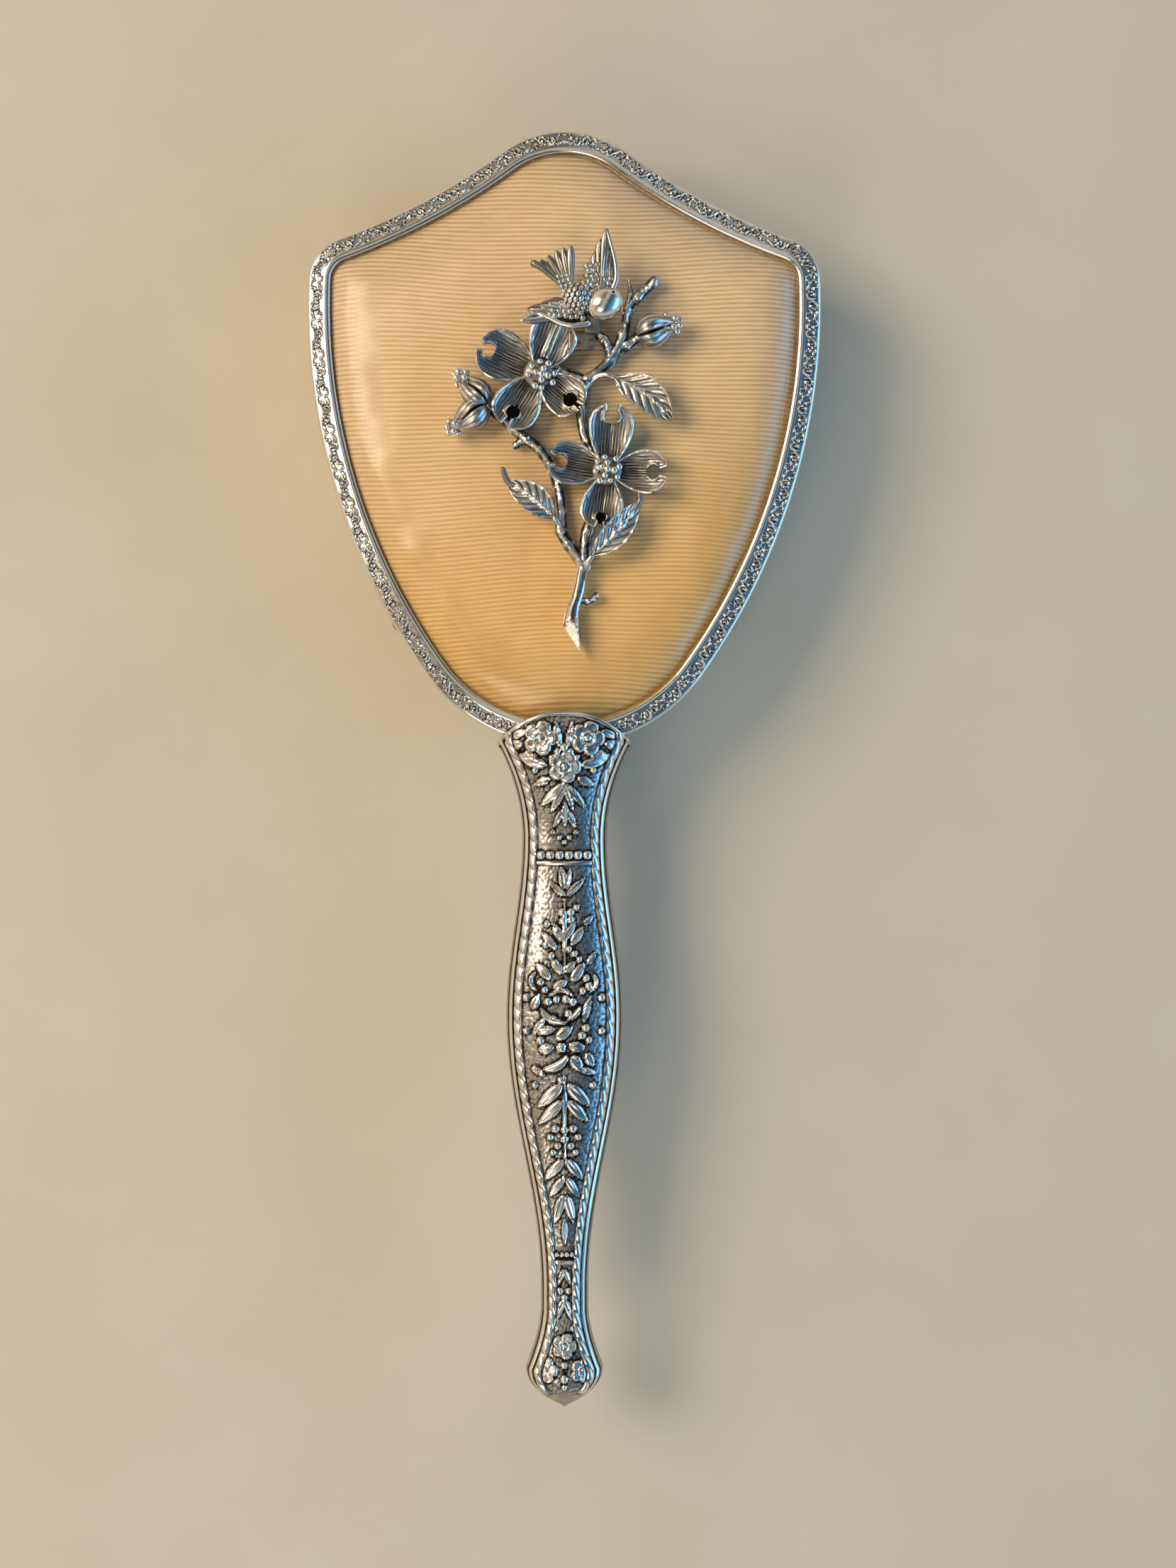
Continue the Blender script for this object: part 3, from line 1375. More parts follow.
        # Plain rim along the collar's edge
        rim = np.clip(1 - np.abs(self.arch(x) - y - 0.45) / 0.5, 0, 1) ** 0.5
        height = np.maximum(height, self.rim_height * rim)
        side = np.clip((from_border - self.border_half) / 0.4, 0, 1)
        height = height * (1 - side * (rim < 0.1))
        # A reed with a sooty groove on each side runs along the plain sides
        outwards = np.clip((from_border - self.border_half) / (self.border_inset - self.border_half), 0, 1)
        reed = ridge(outwards - self.reed_at, 0.13) * on_border
        groove = ridge(np.abs(outwards - self.reed_at) - 0.26, 0.1) * on_border
        height = height + self.reed_height * reed * side
        plain = side * (0.58 - 0.22 * outwards + 0.35 * reed - 0.45 * groove)
        plain = np.where(y < self.plain_foot_y, 0.34, plain)
        # The cloth polishes crests and the open sides; soot stays beside raised forms
        proud = height / self.relief_height
        polish = np.maximum(0.3 * (1 - side), plain) + 0.55 * proud + 2.2 * (proud - soften(proud, 9))
        return height, np.clip(polish, 0, 1)

    def arch(self, x: Array) -> Array:
        """Place along the handle of the collar's crown-shaped edge, over places across it."""
        radius = (self.collar_width**2 + self.crown_rise**2) / (2 * self.crown_rise)
        return self.collar_y + self.crown_rise - radius + np.sqrt(np.clip(radius**2 - x**2, 0, None))

    def section(self, width: float, depth: float, count: int) -> tuple[Array, Array]:
        """Half oval across the handle, evenly spaced along its length.

        Args:
            width: Half width.
            depth: Half depth.
            count: How many steps to take.

        Returns:
            Places across and heights over the parting plane, from right to left.
        """
        turn = np.linspace(0, math.pi, 400)
        c, s = np.cos(turn), np.sin(turn)
        x = width * np.sign(c) * np.abs(c) ** (2 / self.power)
        z = depth * np.abs(s) ** (2 / self.power)
        run = np.concatenate([[0], np.cumsum(np.hypot(np.diff(x), np.diff(z)))])
        at = np.linspace(0, run[-1], count + 1)
        return np.interp(at, run, x), np.interp(at, run, z)

    def skins(self) -> tuple[Array, Array]:
        """Plain outside and inside of a half shell, over the parting plane.

        Returns:
            Points of each, rows by columns by three, from the collar's tongue to the foot.
        """
        body = np.linspace(self.collar_y, self.foot_y, 440)
        cap = self.foot_y - (self.foot_y - self.tip_y) * np.linspace(0, 1, 34)[1:] ** 0.8
        skins: tuple[list[Array], list[Array]] = ([], [])
        for y in np.concatenate([body, cap]):
            width, depth = (float(v) for v in self.size(np.array(y)))
            thin = min(self.wall, 0.8 * min(width, depth))
            x, z = self.section(width, depth, self.columns)
            skins[0].append(np.column_stack([x, np.full_like(x, y), z]))
            x, z = self.section(width - thin, depth - thin, self.inner_columns)
            skins[1].append(np.column_stack([x, np.full_like(x, y), z])[::-1])
        # The collar's tongue rises over the head as an arch
        whole = []
        for skin, thin in zip(skins, (0.0, self.wall)):
            x = skin[0][:, 0]
            rise = self.arch(x * self.collar_width / (self.collar_width - thin)) - self.collar_y
            tongue = []
            for share in np.linspace(1, 0, 30)[:-1]:
                y = self.collar_y + share * rise
                width, depth = self.size(y)
                round_off = np.clip(1 - np.abs(x / (width - thin)) ** self.power, 0, None)
                tongue.append(np.column_stack([x, y, (depth - thin) * round_off ** (1 / self.power)]))
            whole.append(np.array(tongue + skin))
        return whole[0], whole[1]

    def shell(self, name: str, up: int) -> Piece:
        """Builds one half shell as a closed skin: outside with relief, then back along the inside.

        Args:
            name: Name of the piece.
            up: 1 for the front shell and -1 for the rear one.

        Returns:
            The shell.
        """
        outside, inside = self.skins()
        height, polish = self.relief(outside[..., 0] * up, outside[..., 1])
        normal = np.cross(np.gradient(outside, axis=0), np.gradient(outside, axis=1))
        normal /= np.linalg.norm(normal, axis=2)[..., None] + 1e-9
        normal *= np.sign(normal[..., 2:] + 1e-6)
        outside = outside + height[..., None] * normal
        # The tongue's edge turns down, in front onto the rim
        lip = outside[:1].copy()
        floor = RIM_TOP_Z - HANDLE_Z + 0.7 * (1 - (lip[..., 0] / self.collar_width) ** 2) if up > 0 else 5.0
        lip[..., 2] = np.maximum(np.minimum(lip[..., 2] - 0.3, np.maximum(floor, 0.0)), 0.0)
        outside = np.concatenate([lip, outside])
        polish = np.concatenate([np.full_like(polish[:1], 0.5), polish])
        inside = np.concatenate([inside[:1], inside])
        skin = np.concatenate([outside, inside, outside[:, :1]], axis=1)
        # The collar's end closes where the lip meets the inside
        seal = skin[:1].copy()
        middle = np.linspace(0, 1, self.columns + 1)
        along = np.linspace(0, 1, self.inner_columns + 1)
        for axis in range(3):
            seal[0, : self.columns + 1, axis] = np.interp(middle, along, inside[0, ::-1, axis])
        seal[0, -1] = seal[0, 0]
        skin = np.concatenate([seal, skin])
        skin[..., 2] = HANDLE_Z + up * skin[..., 2]
        shine = np.full(skin.shape[:2], 0.4)
        shine[1:, : self.columns + 1] = polish
        return lay_grid(name, skin, shine)

    def build(self) -> list[Piece]:
        """Builds the front and rear shells."""
        return [self.shell("handle_front_silver", 1), self.shell("handle_rear_silver", -1)]

    def dress(self, pieces: list[Piece], silver: Material) -> None:
        """Gives both shells their finish and place."""
        for piece, half in zip(pieces, ("handle_front_shell", "handle_rear_shell")):
            place(piece, silver, "silver_plate", half)


# Spray


def lens(upper: Array, lower: Array, shine: Array) -> tuple[Array, Array]:
    """Closes two facing sheets into one thin skin.

    Args:
        upper: The upper sheet, rows by columns by three.
        lower: The lower sheet, in the same order.
        shine: How polished the upper sheet is.

    Returns:
        The skin, and how polished it is.
    """
    skin = np.concatenate([upper, lower[:, ::-1]], axis=1)
    polish = np.concatenate([shine, np.full_like(shine, UNDERSIDE_SHINE)], axis=1)
    ends = [(row + row[:, ::-1]) / 2 for row in (skin[:1], skin[-1:])]
    skin = np.concatenate([ends[0], skin, ends[1]])
    polish = np.concatenate([polish[:1], polish, polish[-1:]])
    skin = np.concatenate([skin, skin[:, :1]], axis=1)
    polish = np.concatenate([polish, polish[:, :1]], axis=1)
    return skin, np.clip(polish, 0, 1)


@dataclass(frozen=True)
class Blade:
    """Thin cast blade, such as a leaf or feather, modelled as one closed lens."""

    foot: Spot
    tip: Spot
    width: float
    z_foot: float
    z_tip: float
    broadest: float = 0.6
    foot_share: float = 0.2
    round_tip: float = 0.5
    dish: float = 0.0
    bow: float = 0.0
    sweep: float = 0.0
    rim: float = 0.0
    midrib: float = 0.0
    striae: int = 0
    stria_depth: float = 0.0
    veins: int = 0
    vein_depth: float = 0.0
    thickness: float = 0.7
    twist: float = 0.0
    tone: float = 0.45
    rows: int = 40
    columns: int = 32

    def half_width(self, u: Array) -> Array:
        """Half width of the blade.

        Args:
            u: Shares of its length.

        Returns:
            One half width for each share.
        """
        climb = np.sin(np.pi / 2 * np.clip(u / self.broadest, 0, 1)) ** 0.9
        rising = self.foot_share + (1 - self.foot_share) * climb
        past = np.clip((u - self.broadest) / (1 - self.broadest), 0, 1)
        falling = np.clip(1 - past**2, 0, None) ** self.round_tip
        return self.width / 2 * np.where(u < self.broadest, rising, falling)

    def grid(self) -> tuple[Array, Array]:
        """Points of the closed lens and how polished each is.

        Returns:
            Rows by columns by three, and rows by columns.
        """
        u = np.linspace(0, 1, self.rows + 1)[:, None]
        u = 0.5 * u + 0.5 * np.sin(np.pi / 2 * u)
        v = np.linspace(-1, 1, self.columns + 1)[None]
        v = np.sin(np.pi / 2 * v) * 0.5 + v * 0.5
        z = self.z_foot + (self.z_tip - self.z_foot) * u + self.bow * np.sin(np.pi * u)
        z = z + self.dish * v**2 * np.sin(np.pi * np.clip(u, 0.05, 1)) ** 0.3 + self.twist * v * u
        edge = np.abs(v) + 0 * u
        lip = np.clip((edge - 0.82) / 0.12, 0, 1)
        crest = self.rim * lip
        polish = self.tone + 0.55 * lip * (self.rim > 0)
        if self.striae:
            lines = np.cos(np.pi * self.striae * v) * (0.6 + 0.4 * np.sin(7 * v + 3 * u))
            crest = crest + self.stria_depth * lines * (1 - edge**4)
            polish = polish + 0.25 * lines
        if self.veins:
            ribs = np.abs(np.sin(np.pi * self.veins * (u - 0.3 * np.abs(v)))) ** 0.6
            crest = crest + self.vein_depth * ribs * (1 - edge**6)
            polish = polish + 0.7 * (ribs - 0.6)
        if self.midrib:
            spine = ridge(v, 0.14)
            crest = crest + self.midrib * spine
            polish = polish + 0.5 * spine
        length, ahead, aside = heading(self.foot, self.tip)
        across = self.half_width(u) * v + self.sweep * np.sin(np.pi * u)
        middle = lay_out((*self.foot, 0.0), (length * u, ahead), (across, aside), (z, UP))
        lower = lay_out(middle, (-self.thickness * (1 - 0.55 * edge**6), UP))
        return lens(lay_out(middle, (crest, UP)), lower, polish)

    def build(self, name: str) -> Piece:
        """Builds the blade."""
        return lay_grid(name, *self.grid())


@dataclass(frozen=True)
class Petal:
    """One petal of a blossom: two lobes parted by a round notch near its tip.

    The direction is in degrees. The notch opens to the edge by its mouth, and the lobes' points
    draw apart by the flare. A split petal is parted down to its foot. A blind notch has a sooty floor.
    """

    degrees: float
    length: float
    width: float = 8.6
    hole_back: float = 2.1
    hole_radius: float = 1.1
    mouth: float = 0.35
    flare: float = 0.6
    split: float = 0.0
    lean: float = 0.0
    blind: bool = False

    def ways(self) -> tuple[Array, Array]:
        """Level directions along the petal and to its left."""
        along, up = math.cos(math.radians(self.degrees)), math.sin(math.radians(self.degrees))
        return np.array([along, up, 0.0]), np.array([-up, along, 0.0])


@dataclass
class Blossom:
    """Four-petalled blossom with notched petals and a cluster of beaded stamens."""

    name: str
    centre: Spot
    petals: tuple[Petal, ...]
    stamen_shift: Spot = (0.0, 0.0)
    boss_radius: float = 2.8
    boss_flat: float = 0.42
    boss_z: float = 34.1
    bead_radius: float = 0.68
    stalk_radius: float = 0.3
    foot: float = 0.9
    broadest: float = 0.64
    thickness: float = 0.6
    cup: float = 1.0
    rise: float = 1.3
    sag: float = 0.9
    rim: float = 0.42
    rim_width: float = 0.3
    stria_depth: float = 0.03
    rows: int = 84
    columns: int = 26
    seed: int = 3

    def outline(self, petal: Petal, s: Array) -> Array:
        """Half width of a petal.

        Args:
            petal: What the petal is like.
            s: Distances from the blossom's centre.

        Returns:
            One half width for each distance.
        """
        u = (s - self.foot) / (petal.length - self.foot)
        rising = 0.3 + 0.7 * np.sin(np.pi / 2 * np.clip(u / self.broadest, 0, 1)) ** 0.95
        past = np.clip((u - self.broadest) / (1 - self.broadest), 0, 1)
        return petal.width / 2 * np.where(u < self.broadest, rising, np.clip(1 - past**2.4, 0, None) ** 0.5)

    def notch(self, petal: Petal, s: Array) -> Array:
        """Half width of a petal's notch.

        Args:
            petal: What the petal is like.
            s: Distances from the blossom's centre.

        Returns:
            One half width for each distance.
        """
        d = s - (petal.length - petal.hole_back)
        bowl = np.sqrt(np.clip(petal.hole_radius**2 - d**2, 0, None))
        mouth = np.where(d > 0, petal.mouth + petal.flare * np.clip(d / petal.hole_back, 0, 1) ** 2.5, 0.0)
        parting = petal.split * np.clip((s - 2.6) / 2.0, 0, 1)
        return np.maximum.reduce([bowl, mouth, parting])

    def lobe(self, petal: Petal, side: int) -> Piece:
        """Builds one lobe of a petal as a closed lens.

        Args:
            petal: What the petal is like.
            side: 1 for the lobe on the left of the petal's direction, -1 for the right one.

        Returns:
            The lobe.
        """
        # Rows stand closer where the notch opens and where the lobe ends
        fine = np.linspace(self.foot, petal.length, 2000)
        spent = self.notch(petal, fine) >= self.outline(petal, fine) - 0.12
        meet = fine[np.argmax(spent & (fine > 3.0))]
        end = meet if meet > 3.0 else petal.length
        hole = petal.length - petal.hole_back
        weight = 1.0 + 2.5 * ridge(fine - hole, 1.4) + 2.5 * ridge(fine - end, 0.5)
        run = np.cumsum(np.where(fine <= end, weight, 0.0))
        s = np.interp(np.linspace(run[0], run[-1], self.rows + 1), run, fine)[:, None]
        t = np.linspace(0, 1, self.columns + 1)[None]
        t = 0.5 - 0.5 * np.cos(np.pi * t) * 0.5 - 0.5 * (1 - 2 * t) * 0.5
        outer, inner = self.outline(petal, s), self.notch(petal, s)
        across = inner + t * np.maximum(outer - inner, 0.02)
        u = (s - self.foot) / (petal.length - self.foot)
        q = across / (petal.width / 2)
        cup = self.cup * q**2.2 * np.sin(np.pi * np.clip(u, 0.1, 0.8)) ** 0.5
        z = FLOWER_Z + self.rise * u - self.sag * np.sin(np.pi * u) + cup + petal.lean * side * q * u
        # Rolled edges, fine lines along the petal, and a furrow down its middle
        lip = ridge(outer - across - 0.34, self.rim_width)
        roll = ridge(across - inner - 0.3, self.rim_width) * (inner > 0.02)
        lines = np.cos(TAU * (7.5 * q**0.9 + 0.07 * np.sin(1.7 * s + 3 * side) + 0.2 * side))
        lines = lines * (0.55 + 0.45 * np.sin(11 * q + 1.1 * s)) * np.sin(np.pi * np.clip(u, 0, 1)) ** 0.5
        crest = self.rim * np.maximum(lip, 1.25 * roll) + self.stria_depth * lines
        crest = crest - 0.25 * ridge(across, 0.35) * (inner < 0.02) * u
        polish = 0.24 + 0.8 * np.maximum(lip, roll) + 0.26 * lines + 0.14 * q - 0.2 * ridge(s, 3.4)
        ahead, aside = petal.ways()
        middle = lay_out((*self.centre, 0.0), (s, ahead), (side * across, aside), (z, UP))
        skin, shine = lens(lay_out(middle, (crest, UP)), lay_out(middle, (-self.thickness, UP)), polish)
        return lay_grid(f"{self.name}_lobe", skin, shine)

    def pit(self, petal: Petal) -> Piece:
        """Builds the floor that closes a blind notch from below.

        Args:
            petal: What the petal is like.

        Returns:
            The floor.
        """
        ahead, _ = petal.ways()
        spot = lay_out((*self.centre, FLOWER_Z - 0.3), (petal.length - petal.hole_back, ahead))
        radius, depth = metres(1.35 * petal.hole_radius, 0.3)
        floor = add("cylinder", "pit", vertices=24, radius=radius, depth=depth, location=metres(*spot))
        set_relief(floor, 0.0)
        return floor

    def flower(self) -> Piece:
        """Builds the petals and the boss as one casting.

        Returns:
            The blossom.
        """
        parts = [self.lobe(petal, side) for petal in self.petals for side in (1, -1)]
        parts += [self.pit(petal) for petal in self.petals if petal.blind]
        *spot, radius = metres(*self.centre, self.boss_z - 1.0, self.boss_radius)
        boss = add("uv_sphere", "boss", segments=32, ring_count=16, radius=radius, location=spot)
        boss.scale = (1.0, 1.0, self.boss_flat)
        set_relief(boss, 0.35)
        smooth(boss, BEAD_CREASE)
        return join(parts + [boss], f"{self.name}_cast")

    def stamens(self) -> Piece:
        """Builds the beaded stamens, each a bead on a short stalk.

        Returns:
            The stamens.
        """
        rng = np.random.default_rng(self.seed)
        cx, cy = np.add(self.centre, self.stamen_shift)
        spots = [(cx, cy, self.boss_z + 1.45, 1.0)]
        for ring, count, lift in ((1.15, 4, 1.2), (2.35, 8, 0.75)):
            for index in range(count):
                turn = TAU * (index + 0.35 * rng.uniform()) / count + ring
                reach = ring * rng.uniform(0.88, 1.08)
                x, y = cx + reach * math.cos(turn), cy + reach * math.sin(turn)
                z = self.boss_z + lift + rng.uniform(-0.12, 0.15)
                spots.append((x, y, z, rng.uniform(0.85, 1.08)))
        parts = [copies(bead("stamen", self.bead_radius, 0.95), spots, f"{self.name}_beads")]
        for x, y, z, _ in spots:
            fx, fy = self.centre[0] + 0.55 * (x - cx), self.centre[1] + 0.55 * (y - cy)
            route = [(fx, fy, self.boss_z - 0.9), ((fx + x) / 2, (fy + y) / 2, self.boss_z), (x, y, z)]
            parts.append(rod("stalk", route, (self.stalk_radius, self.stalk_radius), 8, 8, 0.35))
        return join(parts, f"{self.name.split('_')[0]}_stamens_cast")

    def build(self) -> dict[str, Piece]:
        """Builds the blossom and its stamens, by the node that each stands for."""
        return {self.name: self.flower(), self.name.replace("flower", "stamens"): self.stamens()}


UPPER_BLOSSOM = Blossom(
    "upper_flower",
    (-4.8, 73.4),
    (
        Petal(155, 11.9, 9.4, hole_back=2.0, hole_radius=1.15, mouth=0.25, flare=0.5),
        Petal(66, 10.6, 8.8, hole_back=0.6, hole_radius=0.3, mouth=0.25, flare=0.3, split=0.12, lean=0.5),
        Petal(-40, 10.4, 8.0, hole_back=2.6, hole_radius=1.2, mouth=0.2, flare=0.3, blind=True),
        Petal(-122, 11.6, 8.8, hole_back=3.0, hole_radius=1.15, mouth=0.25, flare=0.4, blind=True),
    ),
    stamen_shift=(0.7, -0.6),
)
LOWER_BLOSSOM = Blossom(
    "lower_flower",
    (8.0, 55.4),
    (
        Petal(85, 12.2, 8.2, hole_back=2.3, hole_radius=1.3, mouth=0.7, flare=0.4),
        Petal(169, 11.0, 8.2, hole_back=2.3, hole_radius=1.2, mouth=0.45, flare=0.7),
        Petal(-2, 11.0, 8.2, hole_back=2.6, hole_radius=1.2, mouth=0.25, flare=0.8),
        Petal(-98, 10.9, 8.0, hole_back=2.2, hole_radius=0.85, mouth=0.3, flare=0.5, blind=True),
    ),
    seed=5,
)


# Routes of the twigs seen from the front, each with its radius at the foot and at the end
MAIN_STEM = ((1.0, 20.8), (1.2, 23.0), (1.38, 26.2), (1.7, 29.8), (2.7, 33.2), (3.6, 38.0))
TWIGS = (
    (((3.6, 38.0), (0.9, 42.0), (-0.4, 44.4), (-0.6, 48.0), (-1.2, 52.4), (-1.8, 55.5)), 1.2, 1.0),
    (((-1.8, 55.5), (-4.5, 59.5), (-7.0, 61.4), (-9.5, 63.5), (-14.3, 67.5)), 1.05, 0.95),
    (((3.6, 38.0), (4.4, 44.5), (8.0, 55.4)), 1.15, 1.0),
    (((8.0, 55.4), (4.3, 60.8), (3.1, 67.0), (4.2, 72.2)), 1.0, 1.0),
    (((4.2, 72.2), (8.5, 75.8), (10.9, 80.8), (11.7, 85.5)), 1.15, 0.85),
    (((11.7, 85.5), (12.3, 88.0), (11.9, 91.2)), 0.8, 0.25),
    (((4.2, 72.2), (-1.0, 74.0), (-4.8, 73.4)), 1.0, 0.9),
    (((11.5, 84.6), (13.6, 87.6), (16.5, 90.4)), 0.8, 1.0),
    (((2.9, 31.6), (4.3, 31.5), (5.5, 31.9)), 0.75, 0.5),
    (((5.4, 31.8), (5.9, 32.5)), 0.55, 0.6),
    (((9.3, 77.4), (11.6, 78.7), (13.8, 80.4)), 0.95, 1.0),
    (((8.5, 75.8), (8.4, 78.0), (7.4, 79.8), (5.2, 81.2)), 1.0, 0.9),
    (((-6.6, 61.1), (-7.9, 61.0), (-8.8, 60.4)), 0.85, 0.75),
    (((3.6, 70.4), (3.1, 72.0)), 0.7, 0.35),
)
POSTS = ((-0.6, 48.0), (-4.5, 59.5), (3.1, 67.0))


@dataclass
class Stem:
    """Branching twigs of the spray, cast in one with the fixing posts."""

    swell: float = 1.12
    stem_radii: Spot = (1.75, 1.0)
    post_radius: float = 0.9
    post_foot_z: float = 26.5
    cut_height: float = 3.0
    cut_slope: float = 0.4
    cut_ahead: Spot = (-0.6, -0.8)
    cut_edge: Spot = (0.95, 29.0)
    cut_way: Spot = (-0.838, -0.545)
    break_at: Spot = (-0.4, 27.2)
    break_way: Spot = (-0.827, -0.5615)
    seed: int = 17

    def bark(self, path: Array, radii: Array, flute: Array) -> Array:
        """Tube along a path, its skin drawn in and out by the share that flute gives each point."""
        centre = capped(path)[:, None]
        return centre + (tube(path, radii, flute.shape[1] - 1) - centre) * (1 + flute[..., None])

    def twig(self, route: Route, thick: float, thin: float, rng: np.random.Generator) -> Piece:
        """Builds one twig with knots where it bends and shallow bark flutes.

        Args:
            route: Where it runs, seen from the front.
            thick: Radius at its foot.
            thin: Radius at its end.
            rng: Source of small irregularities.

        Returns:
            The twig.
        """
        count = 14 * len(route)
        share = np.linspace(0, 1, count)
        taper = thick + (thin - thick) * share
        beat = share * (len(route) - 1)
        knots = ridge(beat - np.rint(beat), 0.12) * (beat > 0.5)
        radii = taper * (1 + 0.2 * knots + rng.normal(0, 0.02, count))
        path = np.column_stack([curve_through(route, count), STEM_FOOT_Z + self.swell * taper])
        knots = np.pad(knots, len(CAP_STEPS))[:, None]
        turn = np.linspace(0, TAU, 19)[None]
        run = np.linspace(0, 1, len(knots))[:, None]
        flute = 0.07 * np.cos(3 * turn + 2.5 * run) + 0.05 * np.cos(5 * turn - 9 * run)
        flute = flute + 0.05 * np.cos(2 * turn + 40 * run) * np.sin(23 * run)
        shine = np.clip(0.42 + 4.0 * flute + 0.25 * knots, 0.1, 1)
        return lay_grid("twig", self.bark(path, radii, flute), shine)

    def main_stem(self, rng: np.random.Generator) -> Piece:
        """Builds the foot of the spray, whittled to a slanting flat.

        Args:
            rng: Source of small irregularities.

        Returns:
            The foot.
        """
        count = 60
        share = np.linspace(0, 1, count)
        thick, thin = self.stem_radii
        radii = thin + (thick - thin) * ease((0.75 - share) / 0.45)
        z = STEM_FOOT_Z + self.swell * (thin + 0.35 * (1 - share))
        path = np.column_stack([curve_through(MAIN_STEM, count), z])
        turn = np.linspace(0, TAU, 25)[None]
        run = np.linspace(0, 1, len(capped(path)))[:, None]
        facets = 0.06 * np.cos(5 * turn + 1.2 + 2 * run) + 0.035 * np.cos(9 * turn - 7 * run)
        facets = facets + rng.normal(0, 0.008, run.shape)
        skin = self.bark(path, radii, facets)
        skin[..., 2] = np.maximum(skin[..., 2], STEM_FOOT_Z)
        # The foot ends in a slanting break and is whittled flat on top
        past = (skin[..., :2] - self.break_at) @ self.break_way
        skin[..., :2] -= np.maximum(past, 0)[..., None] * self.break_way
        offset = skin[..., :2] - self.cut_edge
        roof = STEM_FOOT_Z + self.cut_height - self.cut_slope * (offset @ self.cut_ahead)
        roof = np.where(offset @ self.cut_way > 0, roof, np.inf)
        cut = skin[..., 2] > roof
        skin[..., 2] = np.maximum(np.minimum(skin[..., 2], roof), STEM_FOOT_Z)
        return lay_grid("main_stem", skin, np.where(cut, 0.6, np.clip(0.55 + 6 * facets, 0.2, 1)))

    def build(self) -> Piece:
        """Builds the whole stem.

        Returns:
            The stem.
        """
        rng = np.random.default_rng(self.seed)
        parts = [self.main_stem(rng)]
        parts += [self.twig(*twig, rng) for twig in TWIGS]
        for x, y in POSTS:
            # A hair's slant gives the upright tube a side to start from
            path = np.linspace((x, y, self.post_foot_z), (x + 1e-4, y, STEM_Z), 4)
            parts.append(lay_grid("post", tube(path, np.full(4, self.post_radius), 16), 0.4))
        return join(parts, "spray_stem_cast")


# Forms that several blades share: the leaves, and the feathers of the bird
LEAF_FORM = {"broadest": 0.46, "foot_share": 0.12, "round_tip": 0.8, "dish": 0.5, "bow": 0.7, "rim": 0.22}
LEAF_FORM |= {"midrib": 0.3, "veins": 6, "vein_depth": 0.28, "tone": 0.42, "rows": 70, "columns": 48}
QUILL = {"midrib": 0.2, "tone": 0.4, "rows": 30, "columns": 20}
FEATHER_FORM = QUILL | {"broadest": 0.74, "foot_share": 0.42, "dish": -0.45}
FEATHER_FORM |= {"striae": 3, "stria_depth": 0.06, "thickness": 0.6}
PRIMARY_FORM = QUILL | {"broadest": 0.4, "foot_share": 0.7, "round_tip": 0.8, "dish": -0.4}
WEB_FORM = {"broadest": 0.35, "foot_share": 0.6, "round_tip": 0.7, "sweep": 0.5, "dish": -0.3, "tone": 0.15}


